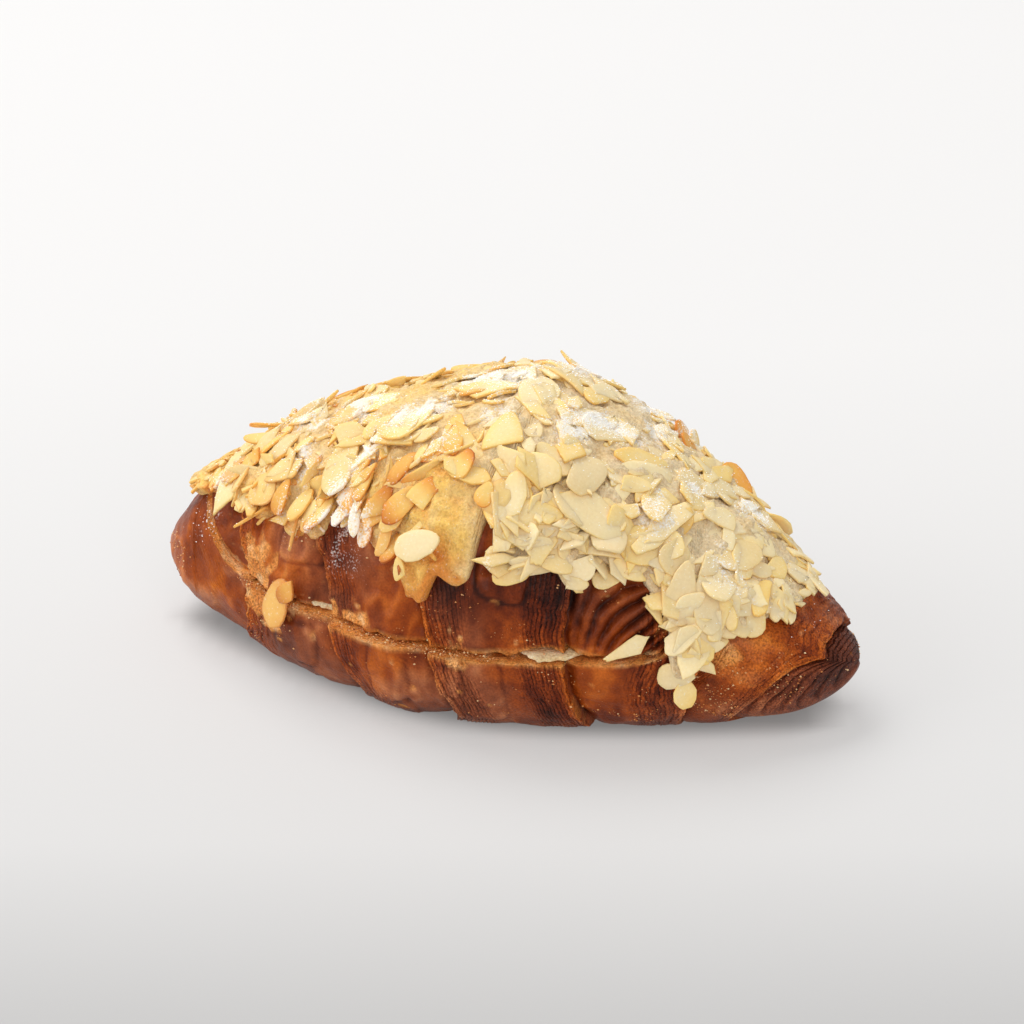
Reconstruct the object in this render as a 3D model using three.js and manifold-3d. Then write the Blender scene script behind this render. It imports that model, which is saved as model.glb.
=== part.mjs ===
// An almond croissant: a croissant split like a sandwich, the almond cream inside it, the lid, and a
// topping of almond cream with flaked almonds. Millimetres, +Z up, +X along the croissant, -Y to the front.
import * as THREE from "three";
import { ParametricGeometry } from "three/addons/geometries/ParametricGeometry.js";
import { mergeVertices } from "three/addons/utils/BufferGeometryUtils.js";
import Module from "manifold-3d";

const wasm = await Module();
wasm.setup();

// Driving dimensions of the croissant.
const LENGTH = 170;
const WIDTH = 86;
const CRUST_HEIGHT = 66.5; // underside to the crown of the lid
const PEAK_X = 6; // the crown sits a little right of the middle
const HORN_WIDTH = 26;
const HORN_HEIGHT = { left: 25, right: 21 };
const HORN_LIFT = { left: 9, right: 5 }; // the tips curl up off the tray
const BELLY_HEIGHT = { horn: 12, middle: 19 }; // height of the widest level
const PRESSED = 8; // how far the round section would go below the tray
const HALF_LENGTH = LENGTH / 2;

// How the sizes run from the middle to a horn, as the power and sharpness of taper.
const WIDTH_TAPER = [1.66, 1.29];
const CROWN_TAPER = { left: [1.33, 0.8], right: [1.5, 1.31] };
const BELLY_TAPER = [2, 1];
const PRESSED_TAPER = [2, 2.5];
const BELLY_LIFT = 0.6; // how much of a horn's curl its widest level follows
const LIFT_START = 0.5; // share of the half length where a horn starts to curl up
const ROUND_END = 0.82; // share of the half length where a horn starts to round off
const SECTION_POWER = { side: 0.9, top: 0.95, bottom: 0.9 }; // under 1 makes an ellipse fuller

// The rolled dough: each edge of the roll is a line round the body, from X on top to X underneath.
const ROLL_EDGES = [
  { top: -56, under: -50 },
  { top: -34, under: -25 },
  { top: -6, under: -9 },
  { top: 31, under: 27 },
  { top: 57, under: 48 },
  { top: 83, under: 60 },
];
const EDGE_LEAN = [45, 150]; // degrees from the crown between which an edge goes from top to under
const BANDS = ROLL_EDGES.length + 1;
const MIDDLE_BAND = 3;
const BAND_SWELL = 2; // how far a band bulges between its two edges
const BAND_CREST = 0.35 * BAND_SWELL; // how much of that stands above the smooth body
const ROLL_STEP = 2; // height of the step where one layer of dough ends on the next
const RELIEF_FADE = [115, 145]; // degrees from the crown between which the relief is pressed flat

// The cut that makes the lid: level in the middle, turning up through the crust at both ends.
const CUT_HEIGHT = 20;
const CUT_LEVEL = { left: -36, right: 26 };
const CUT_TURN_LENGTH = 30; // from the level part to where the cut has risen by CUT_TURN_RISE
const CUT_TURN_RISE = 8;
const SLIT = 2.6; // gap between base and lid
const GAP = 0.3; // clearance between pieces that lie on each other
const LEDGE = 3.2; // the lid is narrower than the base by this on each side
const FILLING_INSET = 2.2; // the filling stops short of the lid's edge
const FILLING_SHARE = 0.96; // share of the length that the filling's own form has
const FILLING_BULGE = { x: 25, spread: 6, reach: 3.5 }; // where it is squeezed out at the front

// The topping: how far round from the crown it reaches at the front and at the back, in degrees.
const TOPPING_ENDS = { left: -77, right: 74 };
const TOPPING_THICK = 3.4;
const TOPPING_EDGE = 1.1; // thickness at its rim and out on the horns
const THIN_ON_HORN = { left: [-66, -56], right: [50, 68] }; // between these X it thins out towards a horn
const SKIN_DEPTH = 4; // how far the cream reaches into the crust before it is fitted
const FRONT_REACH = 58;
const BACK_REACH = 60;
const FRONT_DRIPS = [
  { x: -62, reach: -8, spread: 9 },
  { x: -5, reach: 18, spread: 4 },
  { x: 4, reach: 9, spread: 4.5 },
  { x: 11, reach: -12, spread: 2.4 },
  { x: 53, reach: 44, spread: 4.6 },
  { x: 63, reach: 20, spread: 6 },
];
const BACK_DRIPS = [
  { x: -38, reach: 16, spread: 5 },
  { x: 4, reach: -9, spread: 6 },
  { x: 24, reach: 22, spread: 4.5 },
];
const RIM_WAVES = [
  { height: 3.5, length: 21 },
  { height: 2.2, length: 8.7 },
];
const BACK_WAVE_SHIFT = 5; // the back rim's waves are the front's, moved along X
const LEDGE_BLEND = [10, 1]; // degrees above the cut between which a drip steps out onto the base

// The photograph's view, in which places are marked in pixels: degrees, millimetres and pixels.
const VIEW = { azimuth: 22, elevation: 24, distance: 850, target: { x: 0, y: 0, z: 30 }, focal: 3723 };
const TARGET_PIXEL = { across: 505, down: 540 };
const MARK_REACH = { x: [-75, 75], round: [-30, 105] }; // where on the body marks are looked for
const MARK_FACING = 0.1; // how much a place has to face the view

// Flaked almonds: slices of the nut. Those that stand out are marked in the photograph by eye: pixels across
// and down, degrees that the slice leans there, and then its length, width and roll on the topping.
const mark = (across, down, lean, length, width, roll = 0) => ({ across, down, lean, length, width, roll });
const MARKED_FLAKES = {
  bigOval: mark(587, 517, -43, 19, 10),
  tallLeaf: mark(343, 466, 72, 18, 8),
  longLeft: mark(292, 474, 5, 18, 6),
  stackTop: mark(636, 466, -5, 14, 6, 40),
  stackLow: mark(640, 478, -8, 16, 6, 40),
  upperLeaf: mark(540, 394, 80, 15, 9),
  narrowDrip: mark(704, 607, 97, 15, 6),
  toastedRound: mark(746, 534, 60, 14, 9),
  underToasted: mark(735, 556, 5, 14, 8),
  tallDrip: mark(677, 598, 80, 14, 7),
  paleLeft: mark(504, 443, 75, 14, 9),
  longMiddle: mark(410, 432, 38, 14, 7),
  goldenStand: mark(455, 437, 85, 13, 5),
  wideUpper: mark(532, 517, -3, 13, 6),
  overOval: mark(581, 477, 20, 12, 9),
  frontBig: mark(547, 555, -45, 12, 8),
  goldenStackLow: mark(405, 508, 48, 12, 5, 35),
  goldenStackTop: mark(420, 500, 50, 11, 5, 35),
  pointed: mark(502, 495, 50, 11, 6),
  tongueOval: mark(421, 543, 10, 11, 7),
  roundFront: mark(640, 552, -20, 11, 9),
  paleWide: mark(745, 600, -15, 11, 8),
  wideLower: mark(533, 535, 10, 11, 5),
  ledgeShard: mark(628, 648, 27, 11, 4),
  stick: mark(498, 561, 0, 11, 4),
  rightPoint: mark(672, 558, 60, 10, 7),
  hangingDrop: mark(318, 515, 75, 10, 7),
  lowRight: mark(755, 616, 70, 9, 7),
  lowEdge: mark(627, 572, -25, 9, 5),
  toastedHang: mark(372, 519, 85, 9, 6),
  leftRound: mark(263, 493, 70, 8, 8),
  roundedPoint: mark(577, 567, 60, 8, 7),
  halfRound: mark(507, 578, 5, 8, 5),
  dripUpper: mark(686, 641, 70, 8, 7),
  dripLower: mark(675, 679, 10, 8, 6),
  dripTip: mark(686, 696, 80, 7, 5),
};

// The others are spread over the topping, the largest first, and one has fallen onto the base.
const slice = (x, round, turn, length, width, roll = 0) => ({ x, round, turn, length, width, roll });
const LOOSE_FLAKE = slice(-41.5, 82, 25, 16, 9);
const SPREAD_FLAKES = 36;
const SPREAD_LENGTH = { largest: 17, smallest: 10 };
const SPREAD_X = [-65, 65];
const SPREAD_ACROSS = [0.03, 0.95];
const SPREAD_ROLL = [-14, 14];
const FLAKE_LENGTH_SHARE = [0.8, 1.1];
const FLAKE_WIDTH_SHARE = [0.42, 0.62];
const FLAKE_THICK = 1.1;
const FLAKE_SUNK = 0.5; // how deep a flake lies in the cream
const FLAKE_POINTED = 0.28; // how much narrower the pointed end is

// Each property of a spread flake steps by its own irrational share, so that the flakes lie evenly.
const SPREAD_STEP = {
  x: 0.7548776662,
  across: 0.569840291,
  turn: 0.6180339887,
  length: 0.4142135624,
  width: 0.7320508076,
  roll: 0.2360679775,
};

// Facets: stations in each band of the roll, facets round the body, and those of the other pieces.
const BAND_STATIONS = [0.03, 0.14, 0.32, 0.5, 0.68, 0.86, 0.97];
const ROUND_FACETS = 32;
const TOPPING_FACETS = { along: 50, across: 12 };
const FILLING_FACETS = { along: 40, around: 24 };
const CUT_FACETS = 30;
const FLAKE_SIDES = 8;

const { clamp, lerp, smoothstep, degToRad, radToDeg } = THREE.MathUtils;
const UP = new THREE.Vector3(0, 0, 1);
const ALONG = new THREE.Vector3(1, 0, 0);
const AWAY = new THREE.Vector3(0, 1, 0);

// Falls from 1 in the middle to 0 at share 1.
const taper = (share, [power, sharpness]) => (1 - clamp(share, 0, 1) ** power) ** sharpness;
const bump = (x, at, width) => Math.exp(-(((x - at) / width) ** 2));
const fromMiddle = (x) => Math.abs(x) / HALF_LENGTH;

function roundEnd(x) {
  const share = (fromMiddle(x) - ROUND_END) / (1 - ROUND_END);
  return Math.sqrt(1 - clamp(share, 0, 1) ** 2);
}

function halfWidth(x) {
  return lerp(HORN_WIDTH / 2, WIDTH / 2, taper(fromMiddle(x), WIDTH_TAPER)) * roundEnd(x);
}

function crownHeight(x) {
  const side = x < PEAK_X ? "left" : "right";
  const share = Math.abs(x - PEAK_X) / (HALF_LENGTH + (side === "left" ? PEAK_X : -PEAK_X));
  return lerp(HORN_HEIGHT[side], CRUST_HEIGHT, taper(share, CROWN_TAPER[side]));
}

// Height of the underside of the section, and of its widest level.
function undersideHeight(x) {
  const share = clamp((fromMiddle(x) - LIFT_START) / (1 - LIFT_START), 0, 1);
  return (x < 0 ? HORN_LIFT.left : HORN_LIFT.right) * share ** 2;
}

function bellyHeight(x) {
  const swell = taper(fromMiddle(x), BELLY_TAPER);
  return lerp(BELLY_HEIGHT.horn, BELLY_HEIGHT.middle, swell) + BELLY_LIFT * undersideHeight(x);
}

// How far the section goes above and below its widest level; below the tray it is pressed flat.
function sectionRise(x) {
  const pressed = PRESSED * taper(fromMiddle(x), PRESSED_TAPER);
  return {
    up: (crownHeight(x) - bellyHeight(x)) * roundEnd(x),
    down: (bellyHeight(x) - undersideHeight(x)) * roundEnd(x) + pressed,
  };
}

// A point on the smooth body. round is in degrees from the crown, positive to the front.
function smoothPoint(x, round, inset = 0) {
  const sine = Math.sin(degToRad(round));
  const cosine = Math.cos(degToRad(round));
  const { up, down } = sectionRise(x);
  const { side, top, bottom } = SECTION_POWER;
  const reach = Math.max(halfWidth(x) - inset, 0);
  const y = -reach * Math.sign(sine) * Math.abs(sine) ** side;
  const rise = cosine > 0 ? up * cosine ** top : -down * (-cosine) ** bottom;
  return new THREE.Vector3(x, y, Math.max(bellyHeight(x) + rise, 0));
}

function smoothNormal(x, round, inset = 0) {
  const step = 0.4;
  const limit = HALF_LENGTH - step;
  const middle = clamp(x, -limit, limit);
  const along = smoothPoint(middle + step, round, inset).sub(smoothPoint(middle - step, round, inset));
  const across = smoothPoint(middle, round + step, inset).sub(smoothPoint(middle, round - step, inset));
  const normal = across.cross(along);
  return normal.lengthSq() > 0 ? normal.normalize() : UP.clone().negate();
}

// The X of a roll edge at an angle round the body; the two horns end the list.
function rollEdgeX(edge, round) {
  if (edge < 0) return -HALF_LENGTH;
  if (edge >= ROLL_EDGES.length) return HALF_LENGTH;
  const { top, under } = ROLL_EDGES[edge];
  return lerp(top, under, smoothstep(Math.abs(round), ...EDGE_LEAN));
}

// Bulge of a band and the step at the edge that faces its horn; share runs across the band along +X.
function rollRelief(band, share, round) {
  const swell = BAND_SWELL * Math.sqrt(Math.sin(Math.PI * clamp(share, 0, 1))) - (BAND_SWELL - BAND_CREST);
  let raised = Math.abs(2 * share - 1);
  if (band < MIDDLE_BAND) raised = band === 0 ? 0 : 1 - share;
  if (band > MIDDLE_BAND) raised = band === BANDS - 1 ? 0 : share;
  const standing = 1 - smoothstep(Math.abs(round), ...RELIEF_FADE);
  return (swell + ROLL_STEP * (raised - 0.5)) * standing;
}

// A closed surface from rings of points, ring(along, around) with both from 0 to 1; each end is a point.
function loft(ring, along, around) {
  const surface = (around01, along01, target) => target.copy(ring(along01, around01));
  return toSolid(new ParametricGeometry(surface, around, along));
}

// A three.js geometry as a manifold solid: shared vertices merged, collapsed triangles dropped.
function toSolid(geometry) {
  const bare = new THREE.BufferGeometry();
  bare.setAttribute("position", geometry.getAttribute("position"));
  bare.setIndex(geometry.getIndex());
  const merged = mergeVertices(bare, 1e-4);
  const index = merged.getIndex().array;
  const kept = [];
  for (let i = 0; i < index.length; i += 3) {
    const [a, b, c] = index.subarray(i, i + 3);
    if (a !== b && b !== c && c !== a) kept.push(a, b, c);
  }
  const vertProperties = merged.getAttribute("position").array;
  return new wasm.Manifold(new wasm.Mesh({ numProp: 3, vertProperties, triVerts: new Uint32Array(kept) }));
}

// The largest body of a solid: loose scraps are dropped and sealed hollows are filled.
function largestBody(solid) {
  return solid.decompose().reduce((best, body) => (body.volume() > best.volume() ? body : best));
}

function toMesh(name, solid, color, roughness) {
  const { vertProperties, triVerts } = solid.getMesh();
  const geometry = new THREE.BufferGeometry();
  geometry.setAttribute("position", new THREE.BufferAttribute(vertProperties, 3));
  geometry.setIndex(new THREE.BufferAttribute(triVerts, 1));
  geometry.computeVertexNormals();
  const mesh = new THREE.Mesh(geometry, new THREE.MeshStandardMaterial({ color, roughness, metalness: 0 }));
  mesh.name = name;
  return mesh;
}

// The whole rolled body, with its stations on the edges of the roll. grow moves its surface out.
function rolledBody(inset = 0, grow = 0) {
  const stations = [];
  for (let band = 0; band < BANDS; band += 1) {
    BAND_STATIONS.forEach((share) => stations.push({ band, share }));
  }
  const last = stations.length + 1;
  const tip = (x) => new THREE.Vector3(x + Math.sign(x) * grow, 0, bellyHeight(x));
  const ring = (along, around) => {
    const index = Math.round(along * last);
    const round = lerp(-180, 180, around);
    if (index === 0) return tip(-HALF_LENGTH);
    if (index === last) return tip(HALF_LENGTH);
    const { band, share } = stations[index - 1];
    const x = lerp(rollEdgeX(band - 1, round), rollEdgeX(band, round), share);
    const out = rollRelief(band, share, round) * roundEnd(x) + grow;
    const point = smoothPoint(x, round, inset).addScaledVector(smoothNormal(x, round, inset), out);
    point.z = Math.max(point.z, 0);
    return point;
  };
  return loft(ring, last, ROUND_FACETS);
}

function cutHeight(x) {
  const past = Math.max(CUT_LEVEL.left - x, x - CUT_LEVEL.right, 0);
  return CUT_HEIGHT + CUT_TURN_RISE * (past / CUT_TURN_LENGTH) ** 4;
}

// Everything under the cut surface, raised by an amount.
function underCut(raise) {
  const reach = 0.6 * LENGTH;
  const outline = new THREE.Shape();
  outline.moveTo(reach, -LENGTH);
  for (let i = 0; i <= CUT_FACETS; i += 1) {
    const x = lerp(reach, -reach, i / CUT_FACETS);
    outline.lineTo(x, cutHeight(x) + raise);
  }
  outline.lineTo(-reach, -LENGTH);
  const block = new THREE.ExtrudeGeometry(outline, { depth: 2 * WIDTH, bevelEnabled: false });
  block.rotateX(Math.PI / 2).translate(0, WIDTH, 0);
  return toSolid(block);
}

// The angle round the body at which its surface crosses the cut.
function cutRound(x) {
  const above = cutHeight(x) - bellyHeight(x);
  const { up, down } = sectionRise(x);
  const share = Math.min(Math.abs(above > 0 ? above / up : above / down), 1);
  const power = above > 0 ? SECTION_POWER.top : SECTION_POWER.bottom;
  return radToDeg(Math.acos(Math.sign(above) * share ** (1 / power)));
}

const sumOfDrips = (drips, x) =>
  drips.reduce((sum, { x: at, reach, spread }) => sum + reach * bump(x, at, spread), 0);
const sumOfWaves = (x) =>
  RIM_WAVES.reduce((sum, { height, length }) => sum + height * Math.sin((2 * Math.PI * x) / length), 0);

// How far round the topping reaches at X, narrowing to its two ends.
function toppingReach(x) {
  const middle = (TOPPING_ENDS.left + TOPPING_ENDS.right) / 2;
  const span = (TOPPING_ENDS.right - TOPPING_ENDS.left) / 2;
  const narrowing = taper(Math.abs(x - middle) / span, [5, 0.5]);
  return {
    front: narrowing * (FRONT_REACH + sumOfWaves(x) + sumOfDrips(FRONT_DRIPS, x)),
    back: narrowing * (BACK_REACH - sumOfWaves(x + BACK_WAVE_SHIFT) + sumOfDrips(BACK_DRIPS, x)),
  };
}

// Where something on the outside lies: the lid's surface, stepping out to the base's below the cut.
function coverInset(x, round) {
  const [start, end] = LEDGE_BLEND;
  const cut = cutRound(x);
  return LEDGE * (1 - smoothstep(Math.abs(round), cut - start, cut - end));
}

function toppingThickness(x, across) {
  const { left, right } = THIN_ON_HORN;
  const fullness = taper(Math.abs(2 * across - 1), [4, 0.5]);
  const onBody = smoothstep(x, ...left) * (1 - smoothstep(x, ...right));
  return lerp(TOPPING_EDGE, TOPPING_THICK, fullness * onBody);
}

// A point of the topping's outside, or out above it; across runs from the back rim, 0, to the front rim, 1.
function toppingPoint(x, across, out = 0) {
  const { front, back } = toppingReach(x);
  const round = lerp(-back, front, across);
  const inset = coverInset(x, round);
  const normal = smoothNormal(x, round, inset);
  const height = toppingThickness(x, across) + BAND_CREST + out;
  return { point: smoothPoint(x, round, inset).addScaledVector(normal, height), normal };
}

// The cream of the topping as a thick skin that reaches a little into the crust, before it is fitted.
function creamSkin() {
  const { left, right } = TOPPING_ENDS;
  const rows = TOPPING_FACETS.across;
  const ringCount = 2 * (rows + 1);
  const ring = (along, around) => {
    const x = lerp(left, right, along);
    const index = Math.round(around * ringCount) % ringCount;
    if (along === 0 || along === 1) return toppingPoint(x, 0.5, -TOPPING_EDGE).point;
    if (index <= rows) return toppingPoint(x, index / rows).point;
    return toppingPoint(x, (ringCount - 1 - index) / rows, -SKIN_DEPTH - TOPPING_THICK).point;
  };
  return loft(ring, TOPPING_FACETS.along, ringCount);
}

// The outline of an almond slice: round at one end and pointed at the other.
function flakeOutline(length, width) {
  const corners = [];
  for (let i = 0; i < FLAKE_SIDES; i += 1) {
    const angle = (2 * Math.PI * i) / FLAKE_SIDES;
    const narrowing = 1 - FLAKE_POINTED * Math.cos(angle);
    const across = (width / 2) * Math.sin(angle) * narrowing;
    corners.push(new THREE.Vector2((length / 2) * Math.cos(angle), across));
  }
  return new THREE.Shape(corners);
}

// A flake lying at a point with its flat side to the normal, turned about it and rolled up on one side.
function flakeSolid({ point, normal }, { length, width, turn, roll }) {
  const plate = new THREE.ExtrudeGeometry(flakeOutline(length, width), {
    depth: FLAKE_THICK,
    bevelEnabled: false,
  });
  plate.translate(0, 0, -FLAKE_SUNK);
  plate.rotateX(degToRad(roll)).rotateZ(degToRad(turn));
  plate.applyQuaternion(new THREE.Quaternion().setFromUnitVectors(UP, normal));
  plate.translate(point.x, point.y, point.z);
  return toSolid(plate);
}

function spreadFlake(index) {
  const draw = (property, [low, high]) => lerp(low, high, (0.5 + index * SPREAD_STEP[property]) % 1);
  const size = lerp(SPREAD_LENGTH.largest, SPREAD_LENGTH.smallest, index / SPREAD_FLAKES);
  const x = draw("x", SPREAD_X);
  const { front, back } = toppingReach(x);
  const round = lerp(-back, front, draw("across", SPREAD_ACROSS));
  const length = size * draw("length", FLAKE_LENGTH_SHARE);
  const width = size * draw("width", FLAKE_WIDTH_SHARE);
  return slice(x, round, draw("turn", [0, 360]), length, width, draw("roll", SPREAD_ROLL));
}

// The view's own axes.
function viewAxes() {
  const right = ALONG.clone().applyAxisAngle(UP, degToRad(VIEW.azimuth));
  const back = AWAY.clone().negate().applyAxisAngle(ALONG, -degToRad(VIEW.elevation));
  back.applyAxisAngle(UP, degToRad(VIEW.azimuth));
  return { right, back, up: back.clone().cross(right) };
}

// Where a point shows in the photograph, in pixels.
function pixelOf(point, { right, back, up }) {
  const from = point.clone().sub(VIEW.target);
  const scale = VIEW.focal / (VIEW.distance - from.dot(back));
  const across = TARGET_PIXEL.across + scale * from.dot(right);
  const down = TARGET_PIXEL.down - scale * from.dot(up);
  return new THREE.Vector2(across, down);
}

// Places on the topping that the photograph shows, on every whole millimetre and degree.
function shownPlaces(axes) {
  const places = [];
  for (let x = MARK_REACH.x[0]; x <= MARK_REACH.x[1]; x += 1) {
    for (let round = MARK_REACH.round[0]; round <= MARK_REACH.round[1]; round += 1) {
      const normal = smoothNormal(x, round);
      const point = smoothPoint(x, round).addScaledVector(normal, TOPPING_THICK);
      const pixel = pixelOf(point, axes);
      if (normal.dot(axes.back) > MARK_FACING) places.push({ x, round, point, normal, pixel });
    }
  }
  return places;
}

// A flake at its mark: the place that shows there, and the turn that makes it lean as marked.
function flakeAtMark({ across, down, lean, length, width, roll }, places, axes) {
  const marked = new THREE.Vector2(across, down);
  const missed = (place) => place.pixel.distanceTo(marked);
  const nearest = places.reduce((best, place) => (missed(place) < missed(best) ? place : best));
  const { x, round, point, normal, pixel } = nearest;
  const pose = new THREE.Quaternion().setFromUnitVectors(UP, normal);
  const drawn = (axis) => pixelOf(axis.clone().applyQuaternion(pose).add(point), axes).sub(pixel);
  const leaning = new THREE.Vector2(Math.cos(degToRad(lean)), -Math.sin(degToRad(lean)));
  const area = drawn(ALONG).cross(drawn(AWAY));
  const turn = Math.atan2(drawn(ALONG).cross(leaning) / area, leaning.cross(drawn(AWAY)) / area);
  return slice(x, round, radToDeg(turn), length, width, roll);
}

function markedFlakes() {
  const axes = viewAxes();
  const places = shownPlaces(axes);
  return Object.values(MARKED_FLAKES).map((flake) => flakeAtMark(flake, places, axes));
}

function flakeOnTopping(flake) {
  const { front, back } = toppingReach(flake.x);
  const across = (flake.round + back) / (front + back);
  return flakeSolid(toppingPoint(flake.x, across), flake);
}

function makeBase() {
  const { x, round } = LOOSE_FLAKE;
  const normal = smoothNormal(x, round);
  const point = smoothPoint(x, round).addScaledVector(normal, BAND_CREST);
  const bottom = rolledBody().intersect(underCut(0));
  return largestBody(bottom.add(flakeSolid({ point, normal }, LOOSE_FLAKE)));
}

const makeLid = () => largestBody(rolledBody(LEDGE).subtract(underCut(SLIT)));

function makeFilling() {
  const ring = (along, around) => {
    const x = lerp(-HALF_LENGTH, HALF_LENGTH, along) * FILLING_SHARE;
    const round = lerp(-180, 180, around);
    if (along === 0 || along === 1) return new THREE.Vector3(x, 0, bellyHeight(x));
    const facingFront = Math.max(Math.sin(degToRad(round)), 0);
    const bulge = FILLING_BULGE.reach * facingFront * bump(x, FILLING_BULGE.x, FILLING_BULGE.spread);
    const depth = LEDGE + FILLING_INSET - bulge;
    return smoothPoint(x, round).addScaledVector(smoothNormal(x, round), -depth);
  };
  const form = loft(ring, FILLING_FACETS.along, FILLING_FACETS.around);
  return largestBody(form.intersect(underCut(SLIT - GAP)).subtract(underCut(GAP)));
}

function makeTopping() {
  const lidRoom = rolledBody(LEDGE, GAP);
  const baseRoom = rolledBody(0, GAP).intersect(underCut(SLIT - GAP));
  const flakes = markedFlakes();
  for (let index = 0; index < SPREAD_FLAKES; index += 1) flakes.push(spreadFlake(index));
  const topping = wasm.Manifold.union([creamSkin(), ...flakes.map(flakeOnTopping)]);
  return largestBody(topping.subtract(lidRoom).subtract(baseRoom));
}

const croissant = new THREE.Group();
croissant.name = "almond_croissant";
croissant.add(
  toMesh("croissant_base", makeBase(), 0x8a4a22, 0.45),
  toMesh("filling", makeFilling(), 0xe6cf9e, 0.8),
  toMesh("croissant_lid", makeLid(), 0x74391c, 0.4),
  toMesh("almond_topping", makeTopping(), 0xecd6a4, 0.6),
);

export default croissant;
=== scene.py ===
# An almond croissant: the rolled crust cut open like a sandwich, the almond cream in the cut, and the
# topping of almond cream, flaked almonds and icing sugar. Millimetres until a mesh is made, as in the part.
import itertools
import math
from collections import namedtuple

import bpy
import numpy as np
from mathutils import Matrix, Vector
from mathutils.bvhtree import BVHTree


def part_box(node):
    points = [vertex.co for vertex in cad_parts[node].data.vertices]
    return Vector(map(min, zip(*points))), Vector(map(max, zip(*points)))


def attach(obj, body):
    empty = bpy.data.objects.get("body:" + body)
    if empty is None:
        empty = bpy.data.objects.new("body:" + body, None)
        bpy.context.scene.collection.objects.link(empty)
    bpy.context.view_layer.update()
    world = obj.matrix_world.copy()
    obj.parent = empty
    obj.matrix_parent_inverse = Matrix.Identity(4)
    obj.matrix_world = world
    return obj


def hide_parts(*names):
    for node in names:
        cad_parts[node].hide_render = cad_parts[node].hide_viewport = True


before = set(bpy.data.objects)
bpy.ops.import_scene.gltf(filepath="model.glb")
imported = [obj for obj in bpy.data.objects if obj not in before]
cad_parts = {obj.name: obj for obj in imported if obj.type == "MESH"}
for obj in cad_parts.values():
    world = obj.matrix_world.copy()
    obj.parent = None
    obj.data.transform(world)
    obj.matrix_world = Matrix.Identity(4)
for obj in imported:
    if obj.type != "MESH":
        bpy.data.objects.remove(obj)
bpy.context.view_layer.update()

MM = 0.001
base_low, base_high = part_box("croissant_base")


def linear(red, green, blue):
    """A colour read as 0 to 255 screen values, as the light that a shader works with."""
    values = np.array([red, green, blue]) / 255
    return np.where(values <= 0.04045, values / 12.92, ((values + 0.055) / 1.055) ** 2.4)


# The croissant's smooth form, from its length.
HALF_LENGTH = (base_high.x - base_low.x) / MM / 2
WIDTH = 86
CRUST_HEIGHT = 66.5
PEAK_X = 6
HORN_WIDTH = 26
HORN_HEIGHT = {"left": 25, "right": 21}
HORN_LIFT = {"left": 9, "right": 5}
BELLY_HEIGHT = {"horn": 12, "middle": 19}
PRESSED = 8
WIDTH_TAPER = (1.66, 1.29)
CROWN_TAPER = {"left": (1.33, 0.8), "right": (1.5, 1.31)}
BELLY_TAPER = (2, 1)
PRESSED_TAPER = (2, 2.5)
BELLY_LIFT = 0.6
LIFT_START = 0.5
ROUND_END = {"left": 0.86, "right": 0.82}
SECTION_POWER = {"side": 0.9, "top": 0.95, "bottom": 0.9}
NORMAL_STEP = 0.4
DEGREE_LENGTH = 0.62

# The rolled dough: X of each edge of the roll on top and underneath, the two horns first and last.
EDGE_TOP = np.array([-HALF_LENGTH, -56, -33, -7, 29.5, 57, 79, HALF_LENGTH])
EDGE_UNDER = np.array([-HALF_LENGTH, -51, -19.5, 4, 33, 51, 60, HALF_LENGTH])
EDGE_LEAN = (45, 150)
BANDS = len(EDGE_TOP) - 1
MIDDLE_BAND = 3
BAND_SWELL = 2.4
BAND_CREST = 0.7
ROLL_STEP = 2.6
RELIEF_FADE = (116, 160)
EDGE_LIP = {"height": 0.7, "width": 1.1}
FOLD = {"depth": 0.6, "width": 1.2}

# Noise is a sum of layers: how much, the size of its lumps, and its seed. Along an edge the size is in
# degrees. The hash mixes whole numbers into chance, and the steps keep seeds and rows of noise apart.
HASH = {"x": 73856093, "y": 19349663, "z": 83492791, "seed": 2654435761, "last": 1274126177}
SEED_STEP = 0.37
ROW_STEP = 1000.0
EDGE_WANDER = ((2.4, 20, 3), (0.5, 6, 4), (0.25, 2, 5))
CRUST_LUMPS = ((0.65, 11, 16), (0.26, 3.6, 17), (0.1, 1.3, 18))
UNDERSIDE_DENTS = ((1.7, 8, 19),)
WRINKLE = {"height": 0.24, "size": 5, "seed": 20, "stretch": np.array([1.6, 0.7, 0.7])}
SHEET_TEARS = ((0.7, 12, 23), (0.3, 4, 24))
TEAR_STEP = {"height": 0.5, "at": 0.16, "soft": 0.05, "rim": 1.5, "stretch": np.array([1.3, 0.6, 0.6])}

# The thin layers that show where the dough was cut: how wide a part of each band they cover, and their form.
LAYERED_WIDTH = np.array([0, 7, 9, 12, 12, 5, 40])
LAYER_PITCH = np.array([1, 0.95, 0.9, 0.95, 0.85, 0.95, 2.3])
LAYER_DEPTH = np.array([0.5, 0.6, 0.65, 0.7, 0.7, 0.6, 1.4])
LAYER_UNEVEN = 0.3
LAYER_FORM = {"ends": (-4, 1), "rise": 0.3, "fall": 0.45, "groove": (0.05, 0.32), "middle": 0.6,
              "whole": 0.65}
LAYER_TONE = {"own": 0.6, "along": 0.8, "length": 5, "layer_step": 3.1, "band_step": 5.7, "seed": 14}
LAYER_WANDER = ((0.6, 16, 12), (0.22, 4, 13), (0.14, 1.4, 21))
LAYER_FADING = ((1, 1, 22),)
LAYER_END_WANDER = ((3, 9, 11),)
LAYER_BREAKS = ((0.4, 6, 15),)
LAYER_MARGIN = 1
# The size of the fibres in the crust: across a layer, along it in degrees, and in the torn crumb.
LAY = {"depth": 0.45, "around": 11, "band_step": 3.7, "crumb": 0.6}

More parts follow.
